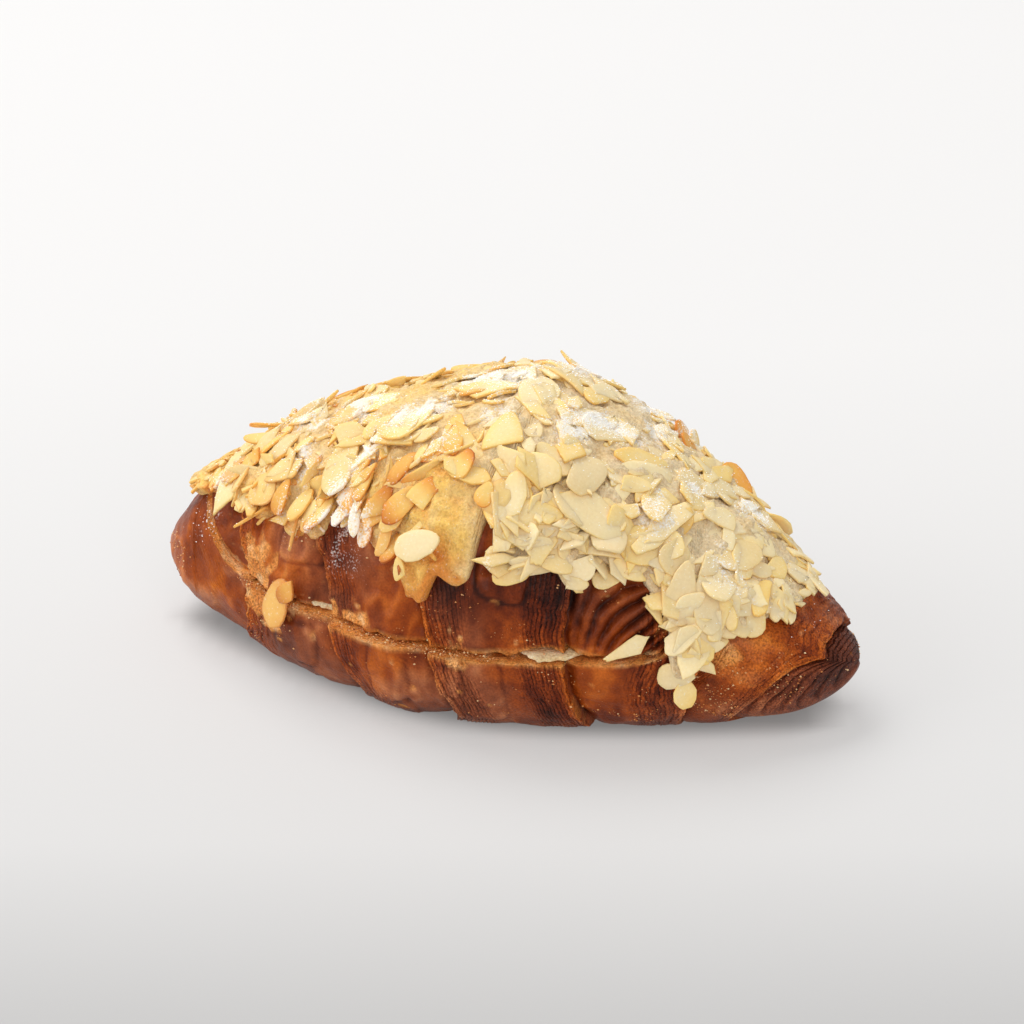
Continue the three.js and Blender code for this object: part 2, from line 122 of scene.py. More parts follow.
# Rings of the crust: their steps, and how their points lie. Most lie at both ends of a ring, by the cut.
STATION_STEP = {"layered": 0.2, "smooth": 0.55}
BAND_SPAN = (0.006, 0.994)
BAND_SAMPLES = 500
ARC_POINTS = 150
CHORD_POINTS = {"base": 26, "lid": 24}
RING_POINTS = (0, 0.42, 0.58, 1)
RING_SHARES = (0, 0.27, 0.73, 1)
CUT_HALVINGS = 30
OPEN_ANGLE = 0.5
LID_ANGLE = 3
WELD = 1e-4

# Raised panels and torn flaps of crust: x, degrees round from the crown, half sizes in both, and height.
PANELS = (
    (14, 66, 5.5, 6.5, 0.9), (4, 99, 3.2, 7, 1.0), (-38, 104, 5.5, 13, 0.6), (-11.5, 103, 4.5, 16, 0.6),
    (-38, 64, 6, 7, 0.6), (11, 106, 4.5, 18, 0.5), (-40, -100, 5.5, 14, 0.6), (12, -104, 6, 14, 0.6),
)
PANEL_POWER = 4
PANEL_RISE = (0, 0.3)
PANEL_RIM = {"at": -0.3, "width": 0.4}
PANEL_RAGGED = ((0.3, 3, 25), (0.12, 1.2, 26))
# Rope-like folds of dough at the front of the lid, that lean more and more to the right.
ROPES = {"x": 39, "half_x": 9, "around": 68, "half_around": 16, "power": 6, "pitch": 3.3, "height": 1.1,
         "lean": 0.15, "more_lean": 0.05, "wander": ((1.1, 6, 29), (0.3, 2, 30))}
# Where the crust is torn open to its crumb: x, degrees round from the crown, their spreads, and how much.
TORN_PLACES = (
    (-52, 72, 4.5, 13, 1), (-47, 88, 7, 12, 1), (-24, 86, 9, 4, 1), (5.5, 89, 2.5, 4.5, 1), (60, 76, 4, 8, 1),
)
TORN_LUMPS = ((0.5, 3, 27), (0.35, 1.3, 28))
TORN_FROM = (0.45, 0.8)
TORN_DEPTH = 0.4
# Where the base arches up off the surface under it: x, spread, height.
ARCHES = ((37, 9, 2.4), (-16, 6, 1.2), (60, 4, 1.2))

# The cut, and the almond cream in it.
CUT_HEIGHT = 20
CUT_LEVEL = (-36, 26)
CUT_TURN = {"length": 30, "rise": 8, "power": 4}
SLIT = 2.6
SHUT_SLIT = {"gap": 1, "x": 25, "spread": 8, "open": 3.2}
GAP = 0.3
LEDGE = 2.4
LEDGE_CHANGES = ((-24, 9, 1.4), (20, 26, -1))
RIM_LUMPS = ((0.55, 2.4, 41), (0.5, 7, 42))
RIM_POINTS = 0.9
RIM_CRUMB = 0.8
CRUMB_LUMPS = ((0.8, 2.6, 43), (0.4, 1.1, 44))
CRUMB_HEAP = {"height": 0.6, "x": (-14, 4), "inside": (0.1, 0.35)}
CRUMB_STEEP = 3
FILLING_INSET = 2.2
FILLING_ENDS = (-64, 60)
FILLING_BULGE = {"x": 25, "spread": 6, "reach": 5.2}
FILLING_POWER = {"side": 0.35, "lift": 0.7, "lumps": 3}
FILLING_LUMPS = ((1, 3, 51), (0.8, 1.2, 52))
FILLING_SHADE = ((1, 2, 53),)
FILLING_POINTS = {"along": 400, "round": 40}

# The topping of almond cream.
TOPPING_ENDS = (-77, 72)
TOPPING_TAPER = (5, 0.5)
TOPPING_THICK = 3.4
TOPPING_EDGE = 1.1
TOPPING_FULL = (4, 0.5)
THIN_ON_HORN = {"left": (-68, -50), "right": (50, 68)}
CREAM_DEPTH = 3
REACH = {"front": 58, "back": 60}
# Drips and gaps of its rim: x, degrees further down, and spread.
FRONT_DRIPS = (
    (-62, -8, 9), (-5, 16, 3.6), (3, 10, 5.2), (9.5, -14, 1.6), (16, 7, 4.5), (53, 42, 4.2), (63, 18, 6),
)
BACK_DRIPS = ((-38, 16, 5), (4, -9, 6), (24, 22, 4.5))
DRIP_WIDER = 1.1
DRIP_POWER = 4
RIM_WAVES = ((3.5, 21), (2.2, 8.7))
BACK_WAVE_SHIFT = 5
TONGUE = {"x": -1, "spread": 9}
FRONT_RIM = ((2.2, 7, 65), (1, 2.3, 66))
BACK_RIM = ((2.2, 7, 67), (1, 2.3, 68))
LEDGE_BLEND = (10, 1)
CREAM_LUMPS = ((1.1, 7.5, 71), (0.8, 3, 72), (0.5, 1.3, 73))
CREAM_POINTS = {"along": 350, "across": 184, "under": 12}
THICK_DRIPS = ((-1, 11, 1.3), (53, 8, 0.7))

# Flaked almonds that are marked in the photograph, by kind: pixels across and down, degrees that the
# slice leans there, and then its length, width and roll on the topping.
MARKED_FLAKES = {
    "whole": (
        (587, 517, -43, 19, 10, 0), (343, 466, 72, 18, 8, 0), (292, 474, 5, 18, 6, 0),
        (636, 466, -5, 14, 6, 40), (640, 478, -8, 16, 6, 40), (540, 394, 80, 15, 9, 0),
        (704, 607, 97, 15, 6, 0), (746, 534, 60, 14, 9, 0), (735, 556, 5, 14, 8, 0),
        (677, 598, 80, 14, 7, 0), (504, 443, 75, 14, 9, 0), (410, 432, 38, 14, 7, 0),
        (455, 437, 85, 13, 5, 0), (532, 517, -3, 13, 6, 0), (581, 477, 20, 12, 9, 0),
        (547, 555, -45, 12, 8, 0), (405, 508, 48, 12, 5, 35), (420, 500, 50, 11, 5, 35),
        (502, 495, 50, 11, 6, 0), (640, 552, -20, 11, 9, 0), (745, 600, -15, 11, 8, 0),
        (533, 535, 10, 11, 5, 0), (672, 558, 60, 10, 7, 0), (318, 515, 75, 10, 7, 0),
        (755, 616, 70, 9, 7, 0), (627, 572, -25, 9, 5, 0), (372, 519, 85, 9, 6, 0),
        (263, 493, 70, 8, 8, 0), (577, 567, 60, 8, 7, 0), (507, 578, 5, 8, 5, 0),
        (686, 641, 70, 8, 7, 0), (675, 679, 10, 8, 6, 0), (686, 696, 80, 7, 5, 0),
        (481, 389, 60, 12, 8, 0), (715, 524, -60, 8, 8, 0), (697, 507, -5, 9, 5, 0),
        (729, 625, 60, 6, 5, 0), (721, 644, 20, 4, 3, 0), (244, 503, 75, 7, 6, 0),
        (460, 468, 40, 7, 8, 0), (398, 520, 45, 10, 4, 30), (630, 488, -8, 8, 4, 30),
        (486, 497, 60, 6, 4, 0), (605, 580, 5, 7, 4, 0),
    ),
    "shard": ((628, 652, 27, 13, 4.5, 0), (498, 561, 0, 11, 3.5, 0), (652, 615, -70, 7, 3.5, 0)),
    "toasted": ((232, 469, 55, 8, 6, 0),),
    "pale": ((421, 547, 10, 11, 7, 0), (355, 521, 80, 10, 2.5, 20), (399, 573, 85, 6, 3, 0)),
}
MARK_REACH = {"x": (-75, 75), "around": (-30, 105), "facing": 0.1}
# Others with a place of their own: x, degrees round from the crown, turn, length, width, roll.
PLACED_FLAKES = {
    "whole": (
        (-13, 58, 75, 10, 4, 20), (-18, 57, 80, 9, 3.5, 10), (-15, 50, 60, 11, 4.5, 30),
        (-11, 62, 85, 8, 3.5, 0), (-24, 52, 70, 9, 4, 20), (-36, 50, 70, 9, 5, 0), (-33, 54, 85, 8, 4, 0),
        (-42, 47, 60, 9, 4, 10),
    ),
    "toasted": (
        (36, -24, 70, 8, 4, 50), (47, -25, 20, 9, 8, 55), (33, -30, 60, 8, 5, 40), (3, -20, 10, 6, 3, 40),
        (-40, -15, 15, 11, 4, 40), (-12, 38, 60, 9, 4, 20), (-24, 48, 80, 9, 5, 0),
    ),
    "loose": ((-41.5, 84, 50, 13, 8, 0), (-37.5, 79, 20, 8, 4.5, 0)),
}
LOOSE_LIFT = 1.8
# Larger flakes spread by a rule: each draws its values by steps that never come round to the same place.
SPREAD_FLAKES = 36
SPREAD_LENGTH = (17, 10)
SPREAD_X = (-65, 65)
SPREAD_ACROSS = (0.03, 0.95)
SPREAD_ROLL = (-14, 14)
FLAKE_LENGTH_SHARE = (0.8, 1.1)
FLAKE_WIDTH_SHARE = (0.42, 0.62)
SPREAD_STEP = {"x": 0.7548776662, "across": 0.569840291, "turn": 0.6180339887,
               "length": 0.4142135624, "width": 0.7320508076, "roll": 0.2360679775}
# Smaller flakes and bits that lie by chance, narrower and steeper at the left.
SMALL_FLAKES = 780
SMALL_SEED = 12
SMALL_ON_LEFT = 0.48
SMALL_LENGTH = (5, 14)
SMALL_POWER = 1.3
SMALL_X = (-74, 71)
SMALL_ACROSS = (0.01, 0.99)
NARROW_BEFORE_X = 5
SMALL_WIDTH_SHARE = {"left": (0.22, 0.42), "right": (0.4, 0.66)}
SMALL_ROLL = {"left": 40, "right": 22}
# On the horns flakes are smaller, and tilt less.
HORN_SIZE = {"left": 0.3, "right": 0.7}
HORN_LEAST = 0.3
BITS = 520
BIT_SEED = 13
BIT_LENGTH = (2, 6)
BIT_SIDES = 8
BIT_RINGS = ((0.9, 0.5), (1, 0.3), (1, -0.4))
# Places of bare paste, without smaller flakes: x, degrees round from the crown, and the half sizes of both.
BARE_PLACES = ((3, 54, 6, 16), (-6, 70, 5, 10), (48, 24, 4, 7), (51, 84, 5, 8), (20, -2, 5, 5))
# Flakes that hang over the rim, at the front and the back: their share, how near the rim, and their turn.
RIM_FLAKES = {"left": 0.08, "right": 0.26, "across": 0.13, "turn": 90, "spread": 34}
LEFT_TURN = {"mean": 40, "spread": 30, "share": 0.65}
# The form of a flake: rings are shares of its outline and of its thickness.
FLAKE_THICK = 0.68
FLAKE_SUNK = {"placed": 0.3, "other": (0, 0.9), "pale": -1.088}
FLAKE_SIDES = 20
FLAKE_RINGS = ((0.55, 0.5), (0.94, 0.5), (1, 0.36), (1, -0.34), (0.85, -0.5))
FLAKE_RIM = (0.9, 1)
FLAKE_POINTED = 0.28
FLAKE_WOBBLE = ((2, 0.05), (3, 0.04))
WOBBLE_SHIFT = (0, 6)
FLAKE_JAGGED = 0.022
FLAKE_BEND = {"along": 0.05, "across": 0.04}
FLAKE_HUG = 42
FLAKE_CUT = (0.35, 0.85)
FLAKE_CUTS = {"placed": (0, 2), "other": (1, 4)}
SHARDS = {"share": 0.55, "corners": (4, 6), "reach": (0.8, 1.25), "uneven": 0.32}
FLAKE_PITCH = {"placed": 6, "other": 13}
# Flakes lie flatter on the crown, most of all at the right: the least tilt, between which x it changes, and
# the degrees round between which the tilt grows.
LEAST_TILT = {"left": 0.8, "right": 0.35, "x": (-40, 0)}
FLAKE_TILTED = (8, 40)
# The lower ends of flakes lift off, most at the rim: degrees on the sides, at the rim, and where that starts.
FLAKE_LIFT = {"side": 12, "rim": 22, "rim_from": 0.8}
STACK = {"near": 0.3, "lift": 0.35, "most": 4}

# Icing sugar: the middle of each patch from above, and its spread; then the grains and crumbs.
SUGAR_PLACES = (
    (-39, -20, 5), (-23.5, -25, 5), (-4.5, -25, 4.5), (20, -9, 7), (42.5, -18, 4.5), (46, -3, 5),
    (-29, -34, 5), (-22, -36, 3.5), (-67, -14, 3.5), (-7.5, 0, 5), (12, 16, 7), (27, -4, 5), (-52, 6, 6),
    (-18, -15, 6), (-32, 24, 8), (30, 22, 8), (4, 33, 8), (56, 8, 4), (58, -16, 4), (-44, -4, 6),
    (-30, -6, 6), (-12, -12, 5), (4, -14, 4), (34, 4, 6), (2, -2, 6),
)
SUGAR_PATCHES = ((0.6, 5, 61), (0.5, 2, 62))
SUGAR_COVER = (0.2, 1.4)
FROM_ABOVE = np.array([1, 1, 0])
SUGAR_GRAINS = 12000
SUGAR_SEED = 21
SUGAR_IN_PATCHES = 0.9
SUGAR_SCATTER = 0.75
SUGAR_REACH = np.array([78, 44])
SUGAR_SIZE = (0.08, 0.26)
SUGAR_SQUASH = 0.5
SUGAR_FALL = {"from": 200, "lowest": 24, "steepest": 0.2, "above": 0.05}
POWDER = {"size": 0.5, "detail": 4, "from": 0.78, "cover": 0.72}
CRUST_POWDER = {"most": 0.4, "around": (84, 60)}
TOPPING_POWDER = (0.17, 0.55)
CRUMBS = 12000
CRUMB_SEED = 22
CRUMB_SHARE = (0.02, 0.98)
CRUMB_AROUND = (50, 125)
CRUMB_SIZE = (0.08, 0.4)
CRUMB_SQUASH = 0.7
CRUMB_PATCHES = ((1, 6, 91), (0.4, 2, 92))
CRUMB_COVER = {"least": 0.04, "patches": (0.1, 0.8)}
LEDGE_CRUMBS = {"count": 1800, "x": (-56, 14), "inwards": (-0.4, 1), "above": (0.2, 1.2)}

# Baked crust from golden to nearly black, its greyer places, and the torn crumb in the cut.
BAKE_COLOURS = (
    (0.0, linear(232, 148, 64)), (0.25, linear(196, 102, 32)), (0.45, linear(152, 68, 18)),
    (0.65, linear(110, 43, 13)), (0.85, linear(64, 22, 9)), (1.0, linear(32, 12, 7)),
)
MAUVE_COLOURS = (
    (0.0, linear(214, 150, 108)), (0.45, linear(146, 82, 53)), (0.7, linear(104, 54, 36)),
    (1.0, linear(44, 21, 16)),
)
CRUMB_TINTS = ((0, linear(170, 90, 40)), (0.6, linear(222, 144, 76)), (1, linear(248, 216, 166)))
TORN_COLOURS = ((-1, linear(200, 114, 50)), (0.1, linear(236, 162, 86)), (1, linear(252, 220, 170)))
TORN_SHADE = ((0.6, 3, 34), (0.45, 1.1, 35))
BAKE_MIDDLE = 0.48
BAKE_LUMPS = ((0.14, 20, 31), (0.13, 6, 32), (0.1, 1.8, 33))
# How much each mark darkens the crust: deeper bake, and painted shade in the grooves between layers, in the
# folds under the bands and in the grooves between the rope folds, whose tops are lighter.
BAKE_AND_SHADE_MARKS = {
    "groove": 0.22, "layered": -0.03, "tone": -0.07, "edge": -0.3, "fold": 0.14, "wrinkle": -0.06,
    "tear_rim": -0.16, "panel_rim": 0.18, "panel": -0.05, "ropes": 0.1, "ridges": -0.16, "end_band": 0.06,
}
# Darker and lighter places, mostly bake and partly painted shade on the lid under the topping's rim: x,
# degrees round from the crown, their spreads, and how much darker.
BAKED_AND_SHADED_PLACES = (
    (26, 66, 7, 11, 0.5), (12, 70, 7, 9, 0.32), (40, 68, 8, 12, 0.04), (85, 90, 9, 90, 0.34),
    (2, 70, 6, 9, 0.26), (73, 78, 6, 14, -0.12), (-13, 104, 4.5, 20, -0.28), (10, 104, 6, 20, 0.14),
    (66, 100, 9, 14, 0.08), (-26, 66, 5, 14, 0.06), (-3, 104, 4, 20, -0.1), (51, 104, 6, 20, -0.08),
    (25, 104, 6, 20, 0.34), (40, 104, 8, 20, 0.06), (-30, 128, 25, 12, 0.14), (30, 128, 30, 12, 0.14),
    (-38, 104, 7, 16, 0.2),
)
MAUVE = {"below": 0.4, "below_from": (92, 124), "from": (-0.1, 0.7), "most": 0.8}
MAUVE_LUMPS = ((0.7, 13, 36), (0.3, 4, 37))
MAUVE_PLACES = (
    (-38, 62, 9, 12, 0.9), (66, 116, 10, 14, 0.6), (-38, 108, 7, 14, 0.5), (12, 108, 5, 12, 0.4),
)
# Where the crust is granular or fibrous rather than smooth; the places have an x, its spread and how much.
GRANULAR = {"least": 0.3, "crumb": 0.4, "edge": 0.5, "layered": 0.4}
GRANULAR_PLACES = ((70, 16, 0.5), (22, 8, 0.2))
FIBROUS_LEAST = 0.1

# The colours of the cream, the almonds and the sugar.
SUGAR_COLOUR = linear(252, 250, 246)
FILLING_COLOURS = ((-1, linear(240, 204, 146)), (1, linear(255, 240, 206)))
CREAM_PALE = linear(236, 214, 174)
CREAM_GOLDEN = linear(252, 206, 112)
CREAM_TOASTED = linear(220, 130, 50)
CREAM_TOASTING = {"golden": 0.85, "gain": 1.3, "from": 0.75, "rim": (0.84, 1), "most": 0.85}
CREAM_BAKE = ((0.25, 9, 74), (0.2, 2.5, 75))
CREAM_TOAST = ((0.6, 3, 76),)
CREAM_SHADE = ((0.12, 0.9, 77),)
# Where the topping is golden: at the left, the lower the more, on its tongue, and at its left end.
GOLDEN = {"left": (0.42, 0.72), "left_x": (-22, 22), "low_around": (25, 55),
          "tongue": 0.55, "tongue_around": (12, 40), "end": 0.3, "end_x": (-70, -60)}
FLAKE_COLOURS = (
    (0.0, linear(252, 229, 180)), (0.3, linear(252, 216, 136)), (0.55, linear(248, 190, 96)),
    (0.8, linear(232, 148, 60)), (1.0, linear(186, 100, 40)),
)
# The rim's share yellows the flakes' sides: partly toasting, partly a painted warm bounce of light in the
# gaps between flakes.
FLAKE_BAKE_AND_BOUNCE = {"pale": 0.06, "golden": 0.42, "spread": 0.1, "toasted": 0.6, "rim": 0.2}
TOASTED_END = {"share": (0.1, 1), "toast": (0, 0.6), "from": (0.45, 1.05)}
FLAKE_TOAST = ((0.1, 4, 81),)
FLAKE_SHADE = (0.9, 1.03)
FLAKE_COATED = (-0.6, 0.6)

# The finish of each material, and its grain: size, detail, tints of hollows and tops (the grain's own tone
# with painted shade in the hollows and painted highlights on the tops), and depth of bumps.
SOFT_FINISH = {"Specular IOR Level": 0.25, "Subsurface Weight": 0.2, "Subsurface Scale": 1.5 * MM}
CRUST_FINISH = {"Roughness": 0.4, "Specular IOR Level": 0.1, "Coat Weight": 0.08, "Coat Roughness": 0.15}
CREAM_FINISH = {"Roughness": 0.75, **SOFT_FINISH, "Subsurface Radius": (1, 0.8, 0.55)}
ALMOND_FINISH = {"Roughness": 0.55, **SOFT_FINISH, "Subsurface Radius": (1, 0.8, 0.5)}
# The sugar glows faintly white: painted light that brightens its grains.
SUGAR_FINISH_AND_GLOW = {"Roughness": 0.7, "Emission Color": (1, 1, 1, 1), "Emission Strength": 0.2}
CRUMB_FINISH = {"Roughness": 0.6}
# The floor glows with its own colour, a painted light that lifts the shadows on it.
FLOOR_FINISH_AND_GLOW = {"Roughness": 0.6, "Specular IOR Level": 0.1, "Emission Strength": 1}
CRUST_FIBRES = {"size": 1, "detail": 2, "hollows": (0.66, 0.56, 0.52), "top_tint_and_highlight": (1.3, 1.3, 1.26), "depth": 0.3}
CRUST_GRAIN = {"size": 0.5, "detail": 4, "hollows": (0.45, 0.38, 0.34), "top_tint_and_highlight": (1.6, 1.6, 1.6), "depth": 0.7}
CREAM_GRAIN = {"size": 0.6, "detail": 3, "hollows": (0.82, 0.76, 0.68), "top_tint_and_highlight": (1.1, 1.1, 1.1), "depth": 0.6}
ALMOND_GRAIN = {"size": 0.7, "detail": 2, "hollows": (0.97, 0.95, 0.91), "top_tint_and_highlight": (1.02, 1.02, 1.02),
                "depth": 0}
GRAIN_RANGE = (0.3, 0.7)

# Painted shade on the floor, darker in front: its shade by how far it is behind the middle of the croissant,
# in metres.
FLOOR_AWAY = (-0.3, -0.16, -0.09, 0, 0.2, 0.5)
FLOOR_PAINTED_SHADE = (0.206, 0.283, 0.363, 0.386, 0.424, 0.432)
FLOOR_TINT = np.array([1, 0.988, 0.977])
FLOOR_STEPS = 301
FLOOR_REACH = {"across": 2.2, "behind": 2, "front": 1.2}
# A painted shadow under the croissant, where the floor glows less: by how much darker, and between which
# millimetres in from its sides.
FLOOR_PAINTED_SHADOW = {"darker": 0.53, "in_from": (1, 13)}

# Soft lights, with their places in metres, power and side, and the light all round.
SOFTBOXES = {
    "key": ((-1.0, 0.6, 1.9), 27, 1.4),
    "left_fill": ((-1.8, -1.4, 1.2), 18, 1.6),
    "right_fill": ((1.3, -1.9, 1.2), 19, 1.6),
}
LIGHT_AROUND = {"Color": (1, 1, 1, 1), "Strength": 0.55}

# Camera and picture: the photograph's angle, framing and colours.
CAMERA_AZIMUTH = 22
CAMERA_ELEVATION = 24
CAMERA_DISTANCE = 0.85
CAMERA_TARGET = Vector((0, 0, 0.03))
CAMERA_LENS = 130.9
CAMERA_SENSOR = 36
PICTURE_SIDE = 1024
TARGET_PIXEL = (505, 540)

# How many numbers a point's value has, and what such a value is called in a mesh.
POINT_VALUES = {1: ("FLOAT", "value"), 3: ("FLOAT_VECTOR", "vector"), 4: ("FLOAT_COLOR", "color")}
Flake = namedtuple("Flake", "x around turn length width roll kind")


def lerp(low, high, share):
    return low + (high - low) * share


def eased(share):
    return share * share * (3 - 2 * share)


def smoothstep(value, low, high):
    return eased(np.clip((value - low) / (high - low), 0, 1))


def signed_power(value, power):
    return np.sign(value) * np.abs(value) ** power


def taper(share, curve):
    """Falls from 1 in the middle to 0 at share 1."""
    power, sharpness = curve
    return (1 - np.clip(share, 0, 1) ** power) ** sharpness


def bump(x, at, width, power=2):
    """1 at a place and less away from it; a larger power makes its top flatter."""
    return np.exp(-(((x - at) / width) ** power))


def bumps(x, places):
    """A sum of bumps along the croissant, each with its x, spread and amount."""
    return sum(amount * bump(x, at, spread) for at, spread, amount in places)


def spots(x, around, places):
    """A sum of spots, each with its x, degrees round from the crown, the spreads of both, and amount."""
    return sum(amount * bump(x, at_x, x_spread) * bump(around, at_around, around_spread)
               for at_x, at_around, x_spread, around_spread, amount in places)


def by_side(x, values):
    return np.where(x < 0, values["left"], values["right"])


def stacked(*parts):
    """Points from their coordinates, some of which may be the same for many points."""
    return np.stack(np.broadcast_arrays(*parts), axis=-1)


def hashed(cells, seed):
    """A fixed number from -1 to 1 for each cell of whole numbers."""
    x, y, z = np.moveaxis(cells, -1, 0)
    code = x * HASH["x"] ^ y * HASH["y"] ^ z * HASH["z"] ^ seed * HASH["seed"]
    code = ((code & 0x7FFFFFFF) ^ (code >> 13 & 0xFFFF)) * HASH["last"] & 0x7FFFFFFF
    return ((code ^ code >> 15) & 0xFFFF) / 32767.5 - 1


def noise(points, size, seed):
    """Smooth noise from -1 to 1 with lumps of one size."""
    scaled = points / size + SEED_STEP * seed
    cell = np.floor(scaled).astype(np.int64)
    part = eased(scaled - cell)
    total = np.zeros(points.shape[:-1])
    for corner in itertools.product((0, 1), repeat=3):
        weight = np.prod(np.where(corner, part, 1 - part), axis=-1)
        total += weight * hashed(cell + np.array(corner), seed)
    return total


def uneven(points, layers):
    """A sum of layers of noise, each with its amount, size and seed."""
    return sum(amount * noise(points, size, seed) for amount, size, seed in layers)


def uneven_line(place, layers, row=0.0):
    """The same along a line; rows of lines differ."""
    return uneven(stacked(place, ROW_STEP * row, 0.0), layers)


# The smooth body, as in the part.
def from_middle(x):
    return np.abs(x) / HALF_LENGTH


def round_end(x):
    start = by_side(x, ROUND_END)
    share = (from_middle(x) - start) / (1 - start)
    return np.sqrt(1 - np.clip(share, 0, 1) ** 2)


def half_width(x):
    return lerp(HORN_WIDTH / 2, WIDTH / 2, taper(from_middle(x), WIDTH_TAPER)) * round_end(x)


def crown_height(x):
    from_peak = x - PEAK_X
    share = np.abs(from_peak) / (HALF_LENGTH - np.sign(from_peak) * PEAK_X)
    heights = {}
    for side, horn in HORN_HEIGHT.items():
        heights[side] = lerp(horn, CRUST_HEIGHT, taper(share, CROWN_TAPER[side]))
    return by_side(from_peak, heights)


def underside_height(x):
    share = np.clip((from_middle(x) - LIFT_START) / (1 - LIFT_START), 0, 1)
    return by_side(x, HORN_LIFT) * share**2


def belly_height(x):
    swell = taper(from_middle(x), BELLY_TAPER)
    return lerp(BELLY_HEIGHT["horn"], BELLY_HEIGHT["middle"], swell) + BELLY_LIFT * underside_height(x)


def section_rise(x):
    """How far a section reaches above and below the height of its belly."""
    pressed = PRESSED * taper(from_middle(x), PRESSED_TAPER)
    up = (crown_height(x) - belly_height(x)) * round_end(x)
    down = (belly_height(x) - underside_height(x)) * round_end(x) + pressed
    return up, down


def smooth_point(x, around, inset=0):
    """A point of the smooth body; around is in degrees from the crown, positive to the front."""
    cosine = np.cos(np.radians(around))
    up, down = section_rise(x)
    reach = np.maximum(half_width(x) - inset, 0)
    y = -reach * signed_power(np.sin(np.radians(around)), SECTION_POWER["side"])
    above = up * np.abs(cosine) ** SECTION_POWER["top"]
    below = -down * np.abs(cosine) ** SECTION_POWER["bottom"]
    return stacked(x, y, np.maximum(belly_height(x) + np.where(cosine > 0, above, below), 0))


def smooth_normal(x, around, inset=0):
    step = NORMAL_STEP
    middle = np.clip(x, step - HALF_LENGTH, HALF_LENGTH - step)
    along = smooth_point(middle + step, around, inset) - smooth_point(middle - step, around, inset)
    across = smooth_point(middle, around + step, inset) - smooth_point(middle, around - step, inset)
    normal = np.cross(across, along)
    return normal / np.maximum(np.linalg.norm(normal, axis=-1, keepdims=True), 1e-9)


def cut_height(x):
    past = np.maximum(np.maximum(CUT_LEVEL[0] - x, x - CUT_LEVEL[1]), 0)
    return CUT_HEIGHT + CUT_TURN["rise"] * (past / CUT_TURN["length"]) ** CUT_TURN["power"]


def cut_round(x):
    """The angle round the body at which its surface crosses the cut."""
    above = cut_height(x) - belly_height(x)
    up, down = section_rise(x)
    share = np.minimum(np.abs(np.where(above > 0, above / np.maximum(up, 1e-6), above / down)), 1)
    power = np.where(above > 0, SECTION_POWER["top"], SECTION_POWER["bottom"])
    return np.degrees(np.arccos(np.sign(above) * share ** (1 / power)))


# The rolled crust.
def band_x(band, share, around):
    """X at a share across a band of the roll, whose edges lean and wander round the body."""
    lean = smoothstep(np.abs(around), *EDGE_LEAN)
    ends = []
    for edge in (band, band + 1):
        inner = (edge > 0) & (edge < BANDS)
        wander = uneven_line(np.abs(around), EDGE_WANDER, edge) * inner
        ends.append(lerp(EDGE_TOP[edge], EDGE_UNDER[edge], lean) + wander)
    return np.clip(lerp(*ends, share), -HALF_LENGTH, HALF_LENGTH)


def band_width(band):
    return ((EDGE_TOP + EDGE_UNDER)[band + 1] - (EDGE_TOP + EDGE_UNDER)[band]) / 2


def is_horn(band):
    return (band == 0) | (band == BANDS - 1)


def band_depths(band, share):
    """Distances across a band from the edge where its layers show, and from the fold under the next band."""
    width = band_width(band)
    from_left = share * width
    from_right = (1 - share) * width
    depth = np.where(band < MIDDLE_BAND, from_left, from_right)
    depth = np.where(band == MIDDLE_BAND, np.minimum(from_left, from_right), depth)
    depth = np.where(band == BANDS - 1, from_left, depth)
    folded = np.where(band < MIDDLE_BAND, from_right, from_left)
    return depth, np.where(band == MIDDLE_BAND, width, folded)


def roll_relief(band, share):
    """Bulge of a band and the step at the edge that faces its horn."""
    swell = BAND_SWELL * np.sqrt(np.sin(np.pi * np.clip(share, 0, 1))) - (BAND_SWELL - BAND_CREST)
    raised = np.where(band < MIDDLE_BAND, 1 - share, share)
    raised = np.where(band == MIDDLE_BAND, np.abs(2 * share - 1), raised)
    raised = np.where(is_horn(band), 0, raised)
    return swell + ROLL_STEP * (raised - 0.5)


def crust_stations():
    """Band and share of each ring of the crust, closer together where the layers show."""
    bands, shares = [], []
    place = np.linspace(*BAND_SPAN, BAND_SAMPLES)
    for band in range(BANDS):
        layered = band_depths(band, place)[0] < LAYERED_WIDTH[band] + LAYER_MARGIN
        pace = band_width(band) / np.where(layered, STATION_STEP["layered"], STATION_STEP["smooth"])
        passed = np.concatenate([[0], np.cumsum((pace[1:] + pace[:-1]) / 2 * np.diff(place))])
        count = int(passed[-1]) + 2
        bands.append(np.full(count, band))
        shares.append(np.interp(np.linspace(0, passed[-1], count), passed, place))
    return np.concatenate(bands)[:, None], np.concatenate(shares)[:, None]


def lid_gap(x):
    """Height of the slit under the lid, nearly shut but for the place where the filling shows."""
    return lerp(SHUT_SLIT["gap"], SHUT_SLIT["open"], bump(x, SHUT_SLIT["x"], SHUT_SLIT["spread"]))


def lid_inset(x):
    """How far the lid is set back from the base."""
    return LEDGE + bumps(x, LEDGE_CHANGES)


def nothing(x):
    return 0 * x


def cut_angle(band, share, inset, gap):
    """Degrees from the crown at which a ring crosses the cut, 0 where it stays under it."""
    low = np.zeros(band.shape)
    high = np.full(band.shape, 180.0)
    for _ in range(CUT_HALVINGS):
        middle = (low + high) / 2
        x = band_x(band, share, middle)
        above = smooth_point(x, middle, inset(x))[..., 2] > cut_height(x) + gap(x)
        low = np.where(above, middle, low)
        high = np.where(above, high, middle)
    return low


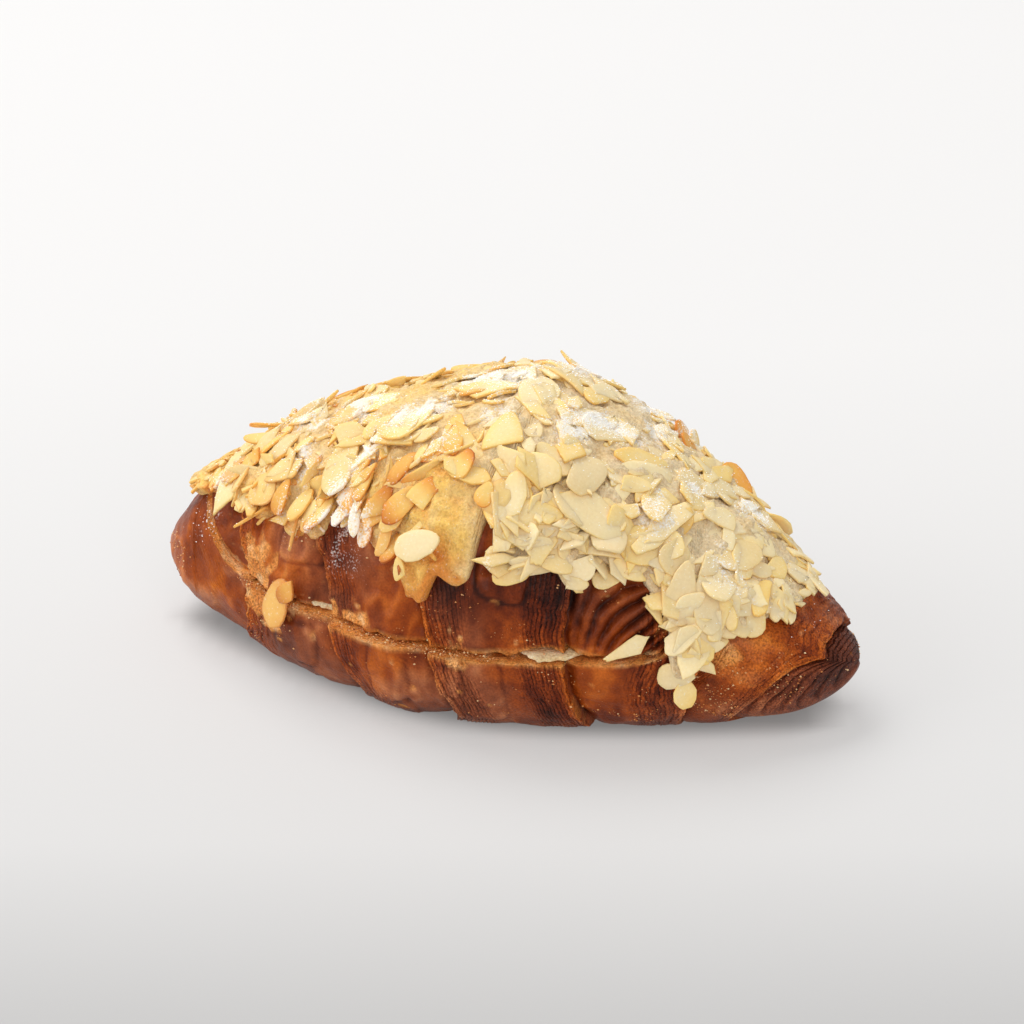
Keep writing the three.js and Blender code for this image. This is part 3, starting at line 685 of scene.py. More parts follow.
def dough_layers(band, depth, around, smooth):
    """The thin layers at a band's raised edge: their height, where they show, their grooves and shades."""
    width = LAYERED_WIDTH[band] + uneven(smooth, LAYER_END_WANDER)
    ends = [width + end for end in LAYER_FORM["ends"]]
    shown = (1 - smoothstep(depth, *ends)) * (LAYERED_WIDTH[band] > 0)
    phase = (depth + uneven(smooth, LAYER_WANDER)) / LAYER_PITCH[band]
    layer = np.floor(phase).astype(np.int64)
    part = phase - layer
    profile = smoothstep(part, 0, LAYER_FORM["rise"]) * (1 - LAYER_FORM["fall"] * part)
    groove = 1 - smoothstep(part, *LAYER_FORM["groove"])
    along = DEGREE_LENGTH * around / LAYER_TONE["length"]
    strip = stacked(LAYER_TONE["layer_step"] * layer, along, LAYER_TONE["band_step"] * band)
    tone = LAYER_TONE["own"] * hashed(stacked(layer, band, 0), LAYER_TONE["seed"])
    tone = tone + LAYER_TONE["along"] * uneven(strip, LAYER_FADING)
    broken = LAYER_FORM["whole"] + uneven(smooth, LAYER_BREAKS)
    height = shown * broken * (LAYER_DEPTH[band] * (profile - LAYER_FORM["middle"]) + LAYER_UNEVEN * tone)
    return height, {"layered": shown, "groove": groove * shown, "tone": tone * shown}


def raised_panels(x, around, smooth):
    """Panels and flaps with ragged rims that stand on the crust: their height, rims and insides."""
    height = np.zeros(x.shape)
    rim = np.zeros(x.shape)
    ragged = uneven(smooth, PANEL_RAGGED)
    for at_x, at_around, half_x, half_around, rise in PANELS:
        outwards = ((x - at_x) / half_x) ** PANEL_POWER + ((around - at_around) / half_around) ** PANEL_POWER
        inside = 1 - outwards + ragged
        height = height + rise * smoothstep(inside, *PANEL_RISE)
        rim = rim + bump(inside, PANEL_RIM["at"], PANEL_RIM["width"])
    return height, {"panel_rim": rim, "panel": np.minimum(height, 1)}


def rope_relief(x, around, smooth):
    """Rope-like folds: where they are, and their height from -1 in the grooves to 1 on the tops."""
    down = DEGREE_LENGTH * (around - ROPES["around"])
    across = x - ROPES["x"] + ROPES["half_x"]
    leaning = down * (ROPES["lean"] + ROPES["more_lean"] * across)
    shown = bump(x, ROPES["x"], ROPES["half_x"], ROPES["power"])
    shown = shown * bump(around, ROPES["around"], ROPES["half_around"], ROPES["power"])
    phase = (across + leaning + uneven(smooth, ROPES["wander"])) / ROPES["pitch"]
    return shown, shown * (2 * np.abs(np.cos(np.pi * phase)) - 1)


def crust_surface(band, share, around, inset):
    """Points of the rolled crust, and what its colour needs: marks, torn crumb and the lay of its fibres."""
    x = band_x(band, share, around)
    smooth = smooth_point(x, around, inset(x))
    depth, folded = band_depths(band, share)
    layers, marks = dough_layers(band, depth, around, smooth)
    panels, panel_marks = raised_panels(x, around, smooth)
    ropes, ridges = rope_relief(x, around, smooth)
    edge = np.where(is_horn(band), 0, bump(depth, 0, EDGE_LIP["width"]))
    fold = bump(folded, 0, FOLD["width"])
    smoothness = 1 - marks["layered"]
    wrinkle = 1 - 2 * np.abs(noise(smooth * WRINKLE["stretch"], WRINKLE["size"], WRINKLE["seed"]))
    sheet = uneven(smooth * TEAR_STEP["stretch"], SHEET_TEARS) - TEAR_STEP["at"]
    soft = TEAR_STEP["soft"]
    tear = smoothstep(sheet, -soft, soft)
    tear_rim = bump(sheet, -soft, TEAR_STEP["rim"] * soft)
    torn = smoothstep(spots(x, around, TORN_PLACES) + uneven(smooth, TORN_LUMPS), *TORN_FROM)
    relief = roll_relief(band, share) + EDGE_LIP["height"] * edge - FOLD["depth"] * fold
    relief = relief + layers + panels + ROPES["height"] * ridges + uneven(smooth, CRUST_LUMPS)
    relief = relief + smoothness * (WRINKLE["height"] * wrinkle - TEAR_STEP["height"] * tear)
    relief = relief + torn * (uneven(smooth, CRUMB_LUMPS) - TORN_DEPTH)
    standing = 1 - smoothstep(np.abs(around), *RELIEF_FADE)
    points = smooth + smooth_normal(x, around, inset(x)) * (relief * standing * round_end(x))[..., None]
    lowest = np.maximum(uneven(points, UNDERSIDE_DENTS), 0)
    for at, spread, height in ARCHES:
        lowest = np.maximum(lowest, height * bump(x, at, spread))
    points[..., 2] = np.maximum(points[..., 2], lowest)
    marks.update(panel_marks, edge=edge, fold=fold, ropes=ropes, ridges=ridges, end_band=band == BANDS - 1,
                 wrinkle=wrinkle * smoothness, tear_rim=tear_rim * smoothness)
    marks = {name: value * standing for name, value in marks.items()}
    lay = stacked(depth / LAY["depth"], around / LAY["around"], LAY["band_step"] * band)
    return points, marks, torn, lay


# Meshes.
def closed_faces(rings, sides):
    """Triangles of a closed form of points: a pole, rings of points, and another pole."""
    step = np.arange(sides)
    after = (step + 1) % sides
    last = 1 + (rings - 1) * sides
    faces = [stacked(0, 1 + after, 1 + step)]
    for here in range(1, last, sides):
        there = here + sides
        faces.append(stacked(here + step, here + after, there + after))
        faces.append(stacked(here + step, there + after, there + step))
    faces.append(stacked(last + step, last + after, last + sides))
    return np.concatenate(faces)


def welded(points, faces, values):
    """Joins points that lie on each other and drops the triangles that collapse."""
    keys = np.round(points / WELD).astype(np.int64)
    _, first, place = np.unique(keys, axis=0, return_index=True, return_inverse=True)
    faces = place.reshape(-1)[faces]
    a, b, c = faces.T
    faces = faces[(a != b) & (b != c) & (c != a)]
    return points[first], faces, {name: value[first] for name, value in values.items()}


def with_poles(rings):
    """Rings of points as one list, with a pole at the middle of the first and of the last ring."""
    first = rings[0].mean(axis=0, keepdims=True)
    last = rings[-1].mean(axis=0, keepdims=True)
    return np.concatenate([first, rings.reshape(-1, rings.shape[-1]), last])


def new_object(name, points, faces, material, values):
    """An object in metres, with the colour and the other values that each of its points has."""
    mesh = bpy.data.meshes.new(name)
    mesh.from_pydata(points, [], faces.tolist(), shade_flat=False)
    for key, value in values.items():
        if key == "tint":
            value = np.concatenate([value, np.ones((len(value), 1))], axis=1)
        kind, field = POINT_VALUES[value.size // len(points)]
        mesh.attributes.new(key, kind, "POINT").data.foreach_set(field, value.ravel())
    mesh.materials.append(material)
    made = bpy.data.objects.new(name, mesh)
    bpy.context.collection.objects.link(made)
    return made


def add_piece(name, points, faces, material, replaced, values):
    """A piece that rides on the croissant, from points in millimetres."""
    points, faces, values = welded(points, faces, values)
    piece = new_object(name, points * MM, faces, material, values)
    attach(piece, "root")
    for node in replaced:
        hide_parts(node)
    return piece


def add_form(name, rings, material, node, values, flipped=False):
    """A closed piece of rings of points that stands for a node; flipped if they run the other way round."""
    faces = closed_faces(*rings.shape[:2])
    if flipped:
        faces = faces[:, ::-1]
    values = {key: with_poles(value.reshape(*rings.shape[:2], -1)) for key, value in values.items()}
    return add_piece(name, with_poles(rings), faces, material, [node], values)


def colour_ramp(value, stops):
    """Colours along a list of (value, colour) stops."""
    places = [place for place, _ in stops]
    colours = np.array([colour for _, colour in stops])
    return np.stack([np.interp(value, places, colours[:, i]) for i in range(3)], axis=-1)


def mixed(first, second, share):
    return first + (second - first) * np.asarray(share)[..., None]


# The base, the lid and the filling.
def crust_colour(points, around, marks, torn):
    """Baked crust by how dark it is, with painted shade in its grooves, folds and under the topping's rim,
    greyer in places, with torn crumb.
    """
    x = points[..., 0]
    side = np.abs(around)
    bake_and_shade = BAKE_MIDDLE + uneven(points, BAKE_LUMPS) + spots(x, side, BAKED_AND_SHADED_PLACES)
    bake_and_shade = np.clip(bake_and_shade + sum(amount * marks[name] for name, amount in BAKE_AND_SHADE_MARKS.items()), 0, 1)
    mauve = uneven(points, MAUVE_LUMPS) + MAUVE["below"] * smoothstep(side, *MAUVE["below_from"])
    mauve = smoothstep(mauve + marks["end_band"] + spots(x, side, MAUVE_PLACES), *MAUVE["from"])
    crust = mixed(colour_ramp(bake_and_shade, BAKE_COLOURS), colour_ramp(bake_and_shade, MAUVE_COLOURS), MAUVE["most"] * mauve)
    return mixed(crust, colour_ramp(uneven(points, TORN_SHADE), TORN_COLOURS), torn)


def crust_rings(is_base, inset, gap):
    """Band, share and cut angle of each ring of the base or the lid, and its points in degrees round."""
    band, share = crust_stations()
    angle = cut_angle(band, share, inset, gap)
    along = np.interp(np.linspace(0, 1, ARC_POINTS), RING_POINTS, RING_SHARES)
    if is_base:
        around = lerp(angle, 360 - angle, along)
        return band, share, angle, np.where(around > 180, around - 360, around)
    kept = angle[:, 0] > LID_ANGLE
    band, share, angle = band[kept], share[kept], angle[kept]
    return band, share, angle, lerp(angle, -angle, along)


def crumb_chord(arc, opened, is_base):
    """The torn crumb that closes each ring along the cut, heaped up on a part of the base."""
    count = CHORD_POINTS["base" if is_base else "lid"]
    place = (0.5 - 0.5 * np.cos(np.linspace(0, np.pi, count + 2)))[1:-1, None]
    chord = lerp(arc[:, -1:, :], arc[:, :1, :], place)
    inside = np.sin(np.pi * place[:, 0])
    rough = uneven(chord, CRUMB_LUMPS)
    if is_base:
        heaped = 1 - smoothstep(chord[..., 0], *CRUMB_HEAP["x"])
        rough = rough + CRUMB_HEAP["height"] * heaped * smoothstep(inside, *CRUMB_HEAP["inside"])
    chord[..., 2] += opened * rough * np.minimum(CRUMB_STEEP * inside, 1)
    return chord


def crust_piece(name, node, inset, gap, material):
    """The base or the lid: rings of crust clipped at the cut, closed by a chord of torn crumb."""
    is_base = node == "croissant_base"
    band, share, angle, around = crust_rings(is_base, inset, gap)
    arc, marks, torn, lay = crust_surface(band, share, around, inset)
    opened = (angle > OPEN_ANGLE).astype(float)
    step = np.arange(ARC_POINTS)
    from_rim = np.minimum(step, step[::-1])
    rim_height = cut_height(arc[..., 0]) + gap(arc[..., 0]) + uneven(arc, RIM_LUMPS)
    arc[..., 2] = np.where((from_rim == 0) & (opened > 0), rim_height, arc[..., 2])
    chord = crumb_chord(arc, opened, is_base)

    def with_chord(on_arc, on_chord):
        return np.concatenate([on_arc, np.broadcast_to(on_chord, chord.shape[:2])], axis=1)

    rings = np.concatenate([arc, chord], axis=1)
    around = with_chord(around, angle)
    marks = {key: with_chord(value, 0) for key, value in marks.items()}
    crumb = with_chord(np.maximum(RIM_CRUMB * bump(from_rim, 0, RIM_POINTS) * opened, torn), opened)
    granular = GRANULAR["least"] + GRANULAR["crumb"] * crumb + bumps(rings[..., 0], GRANULAR_PLACES)
    granular = granular + GRANULAR["edge"] * marks["edge"] + GRANULAR["layered"] * marks["layered"]
    near_top = smoothstep(np.abs(around), *CRUST_POWDER["around"])
    values = {
        "tint": crust_colour(rings, around, marks, crumb),
        "lay": np.concatenate([lay, chord / LAY["crumb"]], axis=1),
        "fibrous": lerp(FIBROUS_LEAST, 1, np.clip(marks["layered"] * (1 - crumb), 0, 1)),
        "granular": np.clip(granular, 0, 1),
        "sugar": CRUST_POWDER["most"] * sugar_share(rings) * near_top,
    }
    return add_form(name, rings, material, node, values)


def filling_piece(material):
    """The layer of almond cream in the cut, with an uneven front that is squeezed out in one place."""
    x = np.linspace(*FILLING_ENDS, FILLING_POINTS["along"])[:, None]
    turn = np.linspace(0, 2 * np.pi, FILLING_POINTS["round"], endpoint=False)
    reach = np.maximum(-smooth_point(x, cut_round(x))[..., 1] - LEDGE - FILLING_INSET, 1)
    bulge = FILLING_BULGE["reach"] * bump(x, FILLING_BULGE["x"], FILLING_BULGE["spread"])
    side = signed_power(np.cos(turn), FILLING_POWER["side"])
    lift = signed_power(np.sin(turn), FILLING_POWER["lift"])
    y = -(reach + bulge * (side > 0)) * side
    rings = stacked(x, y, cut_height(x) + SLIT / 2 + (SLIT / 2 - GAP) * lift)
    rings[..., 1] -= uneven(rings, FILLING_LUMPS) * signed_power(side, FILLING_POWER["lumps"])
    tint = colour_ramp(uneven(rings, FILLING_SHADE), FILLING_COLOURS)
    values = {"tint": tint, "sugar": np.zeros(rings.shape[:2])}
    return add_form("filling_cream", rings, material, "filling", values)


# The topping.
def sum_of_drips(drips, x):
    return sum(reach * bump(x, at, spread * DRIP_WIDER, DRIP_POWER) for at, reach, spread in drips)


def sum_of_waves(x):
    waves = sum(height * np.sin(2 * np.pi * x / length) for height, length in RIM_WAVES)
    return waves * (1 - bump(x, TONGUE["x"], TONGUE["spread"]))


def topping_reach(x):
    """Degrees from the crown to the rim of the topping, at the front and at the back."""
    middle = (TOPPING_ENDS[0] + TOPPING_ENDS[1]) / 2
    narrowing = taper(np.abs(x - middle) / (TOPPING_ENDS[1] - middle), TOPPING_TAPER)
    front = REACH["front"] + sum_of_waves(x) + sum_of_drips(FRONT_DRIPS, x)
    back = REACH["back"] - sum_of_waves(x + BACK_WAVE_SHIFT) + sum_of_drips(BACK_DRIPS, x)
    return narrowing * (front + uneven_line(x, FRONT_RIM)), narrowing * (back + uneven_line(x, BACK_RIM))


def cover_inset(x, around):
    """How far the topping is set back with the lid; it comes out over the ledge."""
    cut = cut_round(x)
    return lid_inset(x) * (1 - smoothstep(np.abs(around), cut - LEDGE_BLEND[0], cut - LEDGE_BLEND[1]))


def body_share(x):
    """1 on the body, 0 out on the horns, where the topping is thin."""
    return smoothstep(x, *THIN_ON_HORN["left"]) * (1 - smoothstep(x, *THIN_ON_HORN["right"]))


def topping_thickness(x, across):
    fullness = taper(np.abs(2 * across - 1), TOPPING_FULL)
    return lerp(TOPPING_EDGE + bumps(x, THICK_DRIPS), TOPPING_THICK, fullness * body_share(x))


def topping_point(x, across, out=0):
    """A point of the topping's outside, or out above it, and its normal; across runs from back to front."""
    front, back = topping_reach(x)
    around = lerp(-back, front, across)
    inset = cover_inset(x, around)
    normal = smooth_normal(x, around, inset)
    height = topping_thickness(x, across) + BAND_CREST + out
    return smooth_point(x, around, inset) + normal * height[..., None], normal, around


def golden_share(x, around):
    """How golden the topping is baked."""
    left = 1 - smoothstep(x, *GOLDEN["left_x"])
    low = smoothstep(around, *GOLDEN["low_around"])
    tongue = bump(x, TONGUE["x"], TONGUE["spread"]) * smoothstep(around, *GOLDEN["tongue_around"])
    end = 1 - smoothstep(x, *GOLDEN["end_x"])
    return np.clip(left * lerp(*GOLDEN["left"], low) + GOLDEN["tongue"] * tongue + GOLDEN["end"] * end, 0, 1)


def sugar_share(points):
    """Patches of icing sugar, seen from above."""
    total = np.zeros(points.shape[:-1])
    for x, y, spread in SUGAR_PLACES:
        total = total + bump(np.hypot(points[..., 0] - x, points[..., 1] - y), 0, spread)
    return smoothstep(total + uneven(points * FROM_ABOVE, SUGAR_PATCHES), *SUGAR_COVER)


def cream_piece(material):
    """The almond cream on top: a lumpy skin, golden at the left and toasted at its rim."""
    x = np.linspace(*TOPPING_ENDS, CREAM_POINTS["along"] + 2)[1:-1, None]
    across = np.linspace(0, 1, CREAM_POINTS["across"])
    under_across = np.linspace(1, 0, CREAM_POINTS["under"])
    top, normal, around = topping_point(x, across)
    top = top + normal * uneven(top, CREAM_LUMPS)[..., None]
    under, _, under_around = topping_point(x, under_across, -CREAM_DEPTH - TOPPING_THICK)
    rings = np.concatenate([top, under], axis=1)
    around = np.concatenate([around, under_around], axis=1)
    rim = smoothstep(np.append(np.abs(2 * across - 1), np.ones(len(under_across))), *CREAM_TOASTING["rim"])
    golden = CREAM_TOASTING["golden"] * golden_share(rings[..., 0], around) + uneven(rings, CREAM_BAKE)
    gain = CREAM_TOASTING["gain"]
    toasted = gain * (golden - CREAM_TOASTING["from"]) + uneven(rings, CREAM_TOAST) + gain * golden * rim
    tint = mixed(CREAM_PALE, CREAM_GOLDEN, np.clip(gain * golden, 0, 1))
    tint = mixed(tint, CREAM_TOASTED, CREAM_TOASTING["most"] * np.clip(toasted, 0, 1))
    tint = tint * (1 + uneven(rings, CREAM_SHADE))[..., None]
    values = {"tint": tint, "sugar": lerp(*TOPPING_POWDER, sugar_share(rings))}
    return add_form("topping_cream", rings, material, "almond_topping", values, flipped=True)


# Where the flakes lie.
def upright_to(normal):
    """The rotation that takes up to the normal by the shortest way."""
    turn = Vector((0, 0, 1)).rotation_difference(Vector(normal))
    return np.array(turn.to_matrix())


def turned(axis, degrees):
    return np.array(Matrix.Rotation(math.radians(degrees), 3, axis))


def on_body(x):
    """1 on the body and less out on the horns, for the size and the tilt of a flake."""
    return float(lerp(HORN_LEAST, 1, body_share(x)))


def spread_flake(index):
    """One of the larger flakes, the first ones the longest."""
    def draw(name, limits):
        return lerp(*limits, (0.5 + index * SPREAD_STEP[name]) % 1)
    size = lerp(*SPREAD_LENGTH, index / SPREAD_FLAKES)
    x = draw("x", SPREAD_X)
    front, back = topping_reach(x)
    around = lerp(-back, front, draw("across", SPREAD_ACROSS))
    length = size * draw("length", FLAKE_LENGTH_SHARE)
    width = size * draw("width", FLAKE_WIDTH_SHARE)
    return Flake(x, around, draw("turn", (0, 360)), length, width, draw("roll", SPREAD_ROLL), "spread")


def is_bare(x, around):
    return any(np.hypot((x - at_x) / half_x, (around - at_around) / half_around) < 1
               for at_x, at_around, half_x, half_around in BARE_PLACES)


def flake_spot(chance):
    """A place on the topping that isn't bare, its side, and whether a flake hangs over the rim there."""
    while True:
        x = chance.uniform(SMALL_X[0], NARROW_BEFORE_X)
        if chance.random() > SMALL_ON_LEFT:
            x = chance.uniform(NARROW_BEFORE_X, SMALL_X[1])
        side = "left" if x < NARROW_BEFORE_X else "right"
        front, back = topping_reach(x)
        across = chance.uniform(*SMALL_ACROSS)
        hanging = chance.random() < RIM_FLAKES[side]
        if hanging:
            across = abs(chance.integers(0, 2) - RIM_FLAKES["across"] * chance.random())
        around = lerp(-back, front, across)
        if not is_bare(x, around):
            return x, around, side, hanging


def small_flake(chance, sizes):
    """A smaller flake or a broken piece anywhere on the topping, narrower and more tilted at the left."""
    x, around, side, hanging = flake_spot(chance)
    length = lerp(*sizes, chance.random() ** SMALL_POWER)
    width = length * chance.uniform(*SMALL_WIDTH_SHARE[side])
    roll = chance.normal(0, SMALL_ROLL[side])
    turn = chance.uniform(0, 360)
    if side == "left" and chance.random() < LEFT_TURN["share"]:
        turn = chance.normal(LEFT_TURN["mean"], LEFT_TURN["spread"])
    if hanging:
        turn = chance.normal(RIM_FLAKES["turn"], RIM_FLAKES["spread"])
    size = lerp(HORN_SIZE[side], 1, on_body(x))
    return Flake(x, around, turn, size * length, size * width, roll, "small")


def view_axes():
    """The photograph's directions to the right, up and back to the camera."""
    azimuth = math.radians(CAMERA_AZIMUTH)
    elevation = math.radians(CAMERA_ELEVATION)
    level = math.cos(elevation)
    right = np.array([math.cos(azimuth), math.sin(azimuth), 0])
    back = np.array([math.sin(azimuth) * level, -math.cos(azimuth) * level, math.sin(elevation)])
    return right, np.cross(back, right), back


def in_picture(points):
    """Where points show in the photograph, in pixels across and down."""
    right, up, back = view_axes()
    away = points - np.array(CAMERA_TARGET) / MM
    focal = CAMERA_LENS / CAMERA_SENSOR * PICTURE_SIDE
    scale = focal / (CAMERA_DISTANCE / MM - away @ back)
    return stacked(TARGET_PIXEL[0] + scale * (away @ right), TARGET_PIXEL[1] - scale * (away @ up))


def shown_places():
    """Every whole millimetre and degree of the topping that the photograph shows."""
    reaches = (np.arange(low, high + 1.0) for low, high in (MARK_REACH["x"], MARK_REACH["around"]))
    x, around = (grid.ravel() for grid in np.meshgrid(*reaches, indexing="ij"))
    normal = smooth_normal(x, around)
    shown = normal @ view_axes()[2] > MARK_REACH["facing"]
    points = smooth_point(x, around) + TOPPING_THICK * normal
    return x[shown], around[shown], points[shown], normal[shown]


def marked_flake(mark, kind, places):
    """A flake at its mark: the place that shows there, and the turn that makes it lean as marked."""
    across, down, lean, length, width, roll = mark
    x, around, points, normals = places
    nearest = np.argmin(np.hypot(*(in_picture(points) - np.array([across, down])).T))
    point = points[nearest]
    pose = upright_to(normals[nearest])
    drawn = in_picture(point + pose.T[:2]) - in_picture(point)
    leaning = np.array([math.cos(math.radians(lean)), -math.sin(math.radians(lean))])
    along = np.linalg.solve(drawn.T, leaning)
    turn = math.degrees(math.atan2(along[1], along[0]))
    return Flake(x[nearest], around[nearest], turn, length, width, roll, kind)


def own_place_flakes():
    """All flakes with a place of their own, in the order in which they are laid on."""
    places = shown_places()
    flakes = []
    for kind in ("whole", "shard", "toasted", "pale", "loose"):
        flakes += [marked_flake(mark, kind, places) for mark in MARKED_FLAKES.get(kind, ())]
        flakes += [Flake(*flake, kind) for flake in PLACED_FLAKES.get(kind, ())]
    return flakes


def flake_place(flake):
    """The point and the normal that a flake lies on."""
    if flake.kind == "loose":
        normal = smooth_normal(flake.x, flake.around)
        return smooth_point(flake.x, flake.around) + normal * LOOSE_LIFT, normal
    front, back = topping_reach(flake.x)
    return topping_point(flake.x, (flake.around + back) / (front + back))[:2]


def flake_tilt(flake):
    """The share of its tilt that a flake keeps."""
    least = lerp(LEAST_TILT["left"], LEAST_TILT["right"], smoothstep(flake.x, *LEAST_TILT["x"]))
    return float(on_body(flake.x) * lerp(least, 1, smoothstep(abs(flake.around), *FLAKE_TILTED)))


def lower_end_lift(flake):
    """The most degrees by which a flake's lower end lifts off what it lies on."""
    if flake.kind == "loose":
        return 0
    front, back = topping_reach(flake.x)
    near_rim = smoothstep(max(flake.around / front, -flake.around / back), FLAKE_LIFT["rim_from"], 1)
    degrees = FLAKE_LIFT["side"] * smoothstep(abs(flake.around), *FLAKE_TILTED) + FLAKE_LIFT["rim"] * near_rim
    return float(-np.sign(flake.around) * degrees * on_body(flake.x))


# The form and the colour of flakes.
def slice_outline(length, width, cuts, sides, chance):
    """The outline of an almond slice, pointed at one end, with straight sides where it broke."""
    angle = np.linspace(0, 2 * np.pi, sides, endpoint=False)
    wobble = 1 + sum(amount * np.sin(waves * angle + chance.uniform(*WOBBLE_SHIFT))
                     for waves, amount in FLAKE_WOBBLE)
    u = length / 2 * np.cos(angle) * wobble
    v = width / 2 * np.sin(angle) * (1 - FLAKE_POINTED * np.cos(angle)) * wobble
    for _ in range(cuts):
        facing = chance.uniform(0, 2 * np.pi)
        out = np.cos(facing) * u + np.sin(facing) * v
        beyond = np.maximum(out - chance.uniform(*FLAKE_CUT) * out.max(), 0)
        u = u - beyond * np.cos(facing)
        v = v - beyond * np.sin(facing)
    return u, v


def shard_outline(length, width, sides, chance):
    """The outline of a broken piece: a few uneven corners with straight sides between them."""
    corners = int(chance.integers(*SHARDS["corners"]))
    step = np.arange(corners) + chance.uniform(-SHARDS["uneven"], SHARDS["uneven"], corners)
    turn = 2 * np.pi * step / corners
    reach = chance.uniform(*SHARDS["reach"], corners)
    place = np.linspace(0, corners, sides, endpoint=False)
    u = np.interp(place, np.arange(corners), reach * np.cos(turn), period=corners)
    v = np.interp(place, np.arange(corners), reach * np.sin(turn), period=corners)
    return length / 2 * u, width / 2 * v


def flake_points(flake, cuts, sides, rings, chance):
    """A thin bent flake, or a shard where no cuts are given: points, their places along it, and its rim."""
    length = flake.length
    if cuts is None:
        u, v = shard_outline(length, flake.width, sides, chance)
    else:
        u, v = slice_outline(length, flake.width, cuts, sides, chance)
    jagged = 1 + chance.normal(0, FLAKE_JAGGED, sides)
    u = u * jagged
    v = v * jagged
    bend_along = chance.normal(0, FLAKE_BEND["along"]) * length
    bend_across = chance.normal(0, FLAKE_BEND["across"]) * length
    layers = []
    for share, height in rings:
        bend = bend_along * (2 * share * u / length) ** 2 + bend_across * (2 * share * v / length) ** 2
        bend = bend - share**2 * (u**2 + v**2) / (2 * FLAKE_HUG)
        layers.append(stacked(share * u, share * v, FLAKE_THICK * height + bend))
    points = with_poles(np.stack(layers))
    rim = np.concatenate([[0], np.repeat([share for share, _ in rings], sides), [0]])
    return points, points[:, 0] / length + 0.5, smoothstep(rim, *FLAKE_RIM)


def flake_tint(flake, points, along, rim, chance):
    """Ivory with yellow edges where the topping is pale, the edges partly toasted and partly a painted warm
    bounce of light between the flakes; golden with one toasted end where it is baked.
    """
    golden = 0 if flake.kind == "pale" else float(golden_share(flake.x, flake.around))
    toast = FLAKE_BAKE_AND_BOUNCE["pale"] + FLAKE_BAKE_AND_BOUNCE["golden"] * golden + chance.normal(0, FLAKE_BAKE_AND_BOUNCE["spread"])
    if flake.kind in ("toasted", "loose"):
        toast = FLAKE_BAKE_AND_BOUNCE["toasted"]
    end = along if chance.random() < 0.5 else 1 - along
    toasted_end = lerp(*TOASTED_END["share"], golden) * chance.uniform(*TOASTED_END["toast"])
    toast = toast + toasted_end * smoothstep(end, *TOASTED_END["from"])
    # The rim's yellow is partly toasting and partly a painted warm bounce of light in the gaps between
    # flakes.
    toast = toast + FLAKE_BAKE_AND_BOUNCE["rim"] * rim + uneven(points, FLAKE_TOAST)
    tint = colour_ramp(np.clip(toast, 0, 1), FLAKE_COLOURS) * chance.uniform(*FLAKE_SHADE)
    coated = chance.uniform(*FLAKE_COATED) * (1 - golden)
    return mixed(tint, CREAM_PALE, max(coated, 0))


def flake_mesh(name, flakes, sides, rings, material, replaced, chance):
    """Almond flakes as one mesh; each lies on those before it."""
    plate_faces = closed_faces(len(rings), sides)[:, ::-1]
    points, faces, tints, centres = [], [], [], []
    for index, flake in enumerate(flakes):
        own_place = flake.kind not in ("small", "spread")
        care = "placed" if own_place else "other"
        place, normal = flake_place(flake)
        near = sum(1 for other, size in centres
                   if np.linalg.norm(other - place) < STACK["near"] * (flake.length + size))
        sunk = FLAKE_SUNK["placed"] if own_place else chance.uniform(*FLAKE_SUNK["other"])
        if flake.kind == "pale":
            sunk = FLAKE_SUNK["pale"]
        tilt = flake_tilt(flake)
        place = place + normal * (FLAKE_THICK / 2 - sunk + STACK["lift"] * min(near, STACK["most"]) * tilt)
        centres.append((place, flake.length))
        cuts = chance.integers(*FLAKE_CUTS[care])
        if flake.kind == "shard" or (not own_place and chance.random() < SHARDS["share"]):
            cuts = None
        flat, along, rim = flake_points(flake, cuts, sides, rings, chance)
        pitch = chance.normal(0, FLAKE_PITCH[care]) * tilt
        roll = (flake.roll + chance.normal(0, FLAKE_PITCH["placed"])) * tilt
        lift = chance.random() * lower_end_lift(flake)
        pose = upright_to(normal)
        for axis, degrees in (("X", lift), ("Z", flake.turn), ("X", roll), ("Y", pitch)):
            pose = pose @ turned(axis, degrees)
        points.append(flat @ pose.T + place)
        faces.append(plate_faces + index * len(flat))
        tints.append(flake_tint(flake, points[-1], along, rim, chance))
    points = np.concatenate(points)
    values = {"tint": np.concatenate(tints), "sugar": lerp(*TOPPING_POWDER, sugar_share(points))}
    return add_piece(name, points, np.concatenate(faces), material, replaced, values)


def almond_flakes(material):
    """The smaller flakes, the larger ones, and on top those with a place of their own."""
    chance = np.random.default_rng(SMALL_SEED)
    flakes = [small_flake(chance, SMALL_LENGTH) for _ in range(SMALL_FLAKES)]
    flakes += [spread_flake(index) for index in range(SPREAD_FLAKES)]
    flakes += own_place_flakes()
    replaced = ["almond_topping"]
    return flake_mesh("almond_flakes", flakes, FLAKE_SIDES, FLAKE_RINGS, material, replaced, chance)


def almond_bits(material):
    """Broken bits of almond between the flakes."""
    chance = np.random.default_rng(BIT_SEED)
    bits = [small_flake(chance, BIT_LENGTH) for _ in range(BITS)]
    return flake_mesh("almond_bits", bits, BIT_SIDES, BIT_RINGS, material, [], chance)


# Icing sugar and crumbs.
def octahedra(places, sizes, squash):
    """Points and faces of tiny eight-sided grains."""
    corners = np.array([(1, 0, 0), (0, 1, 0), (-1, 0, 0), (0, -1, 0), (0, 0, squash), (0, 0, -squash)])
    upper = [(side, (side + 1) % 4, 4) for side in range(4)]
    lower = [((side + 1) % 4, side, 5) for side in range(4)]
    points = places[:, None, :] + sizes[:, None, None] * corners
    faces = np.array(upper + lower) + len(corners) * np.arange(len(places))[:, None, None]
    return points.reshape(-1, 3), faces.reshape(-1, 3)


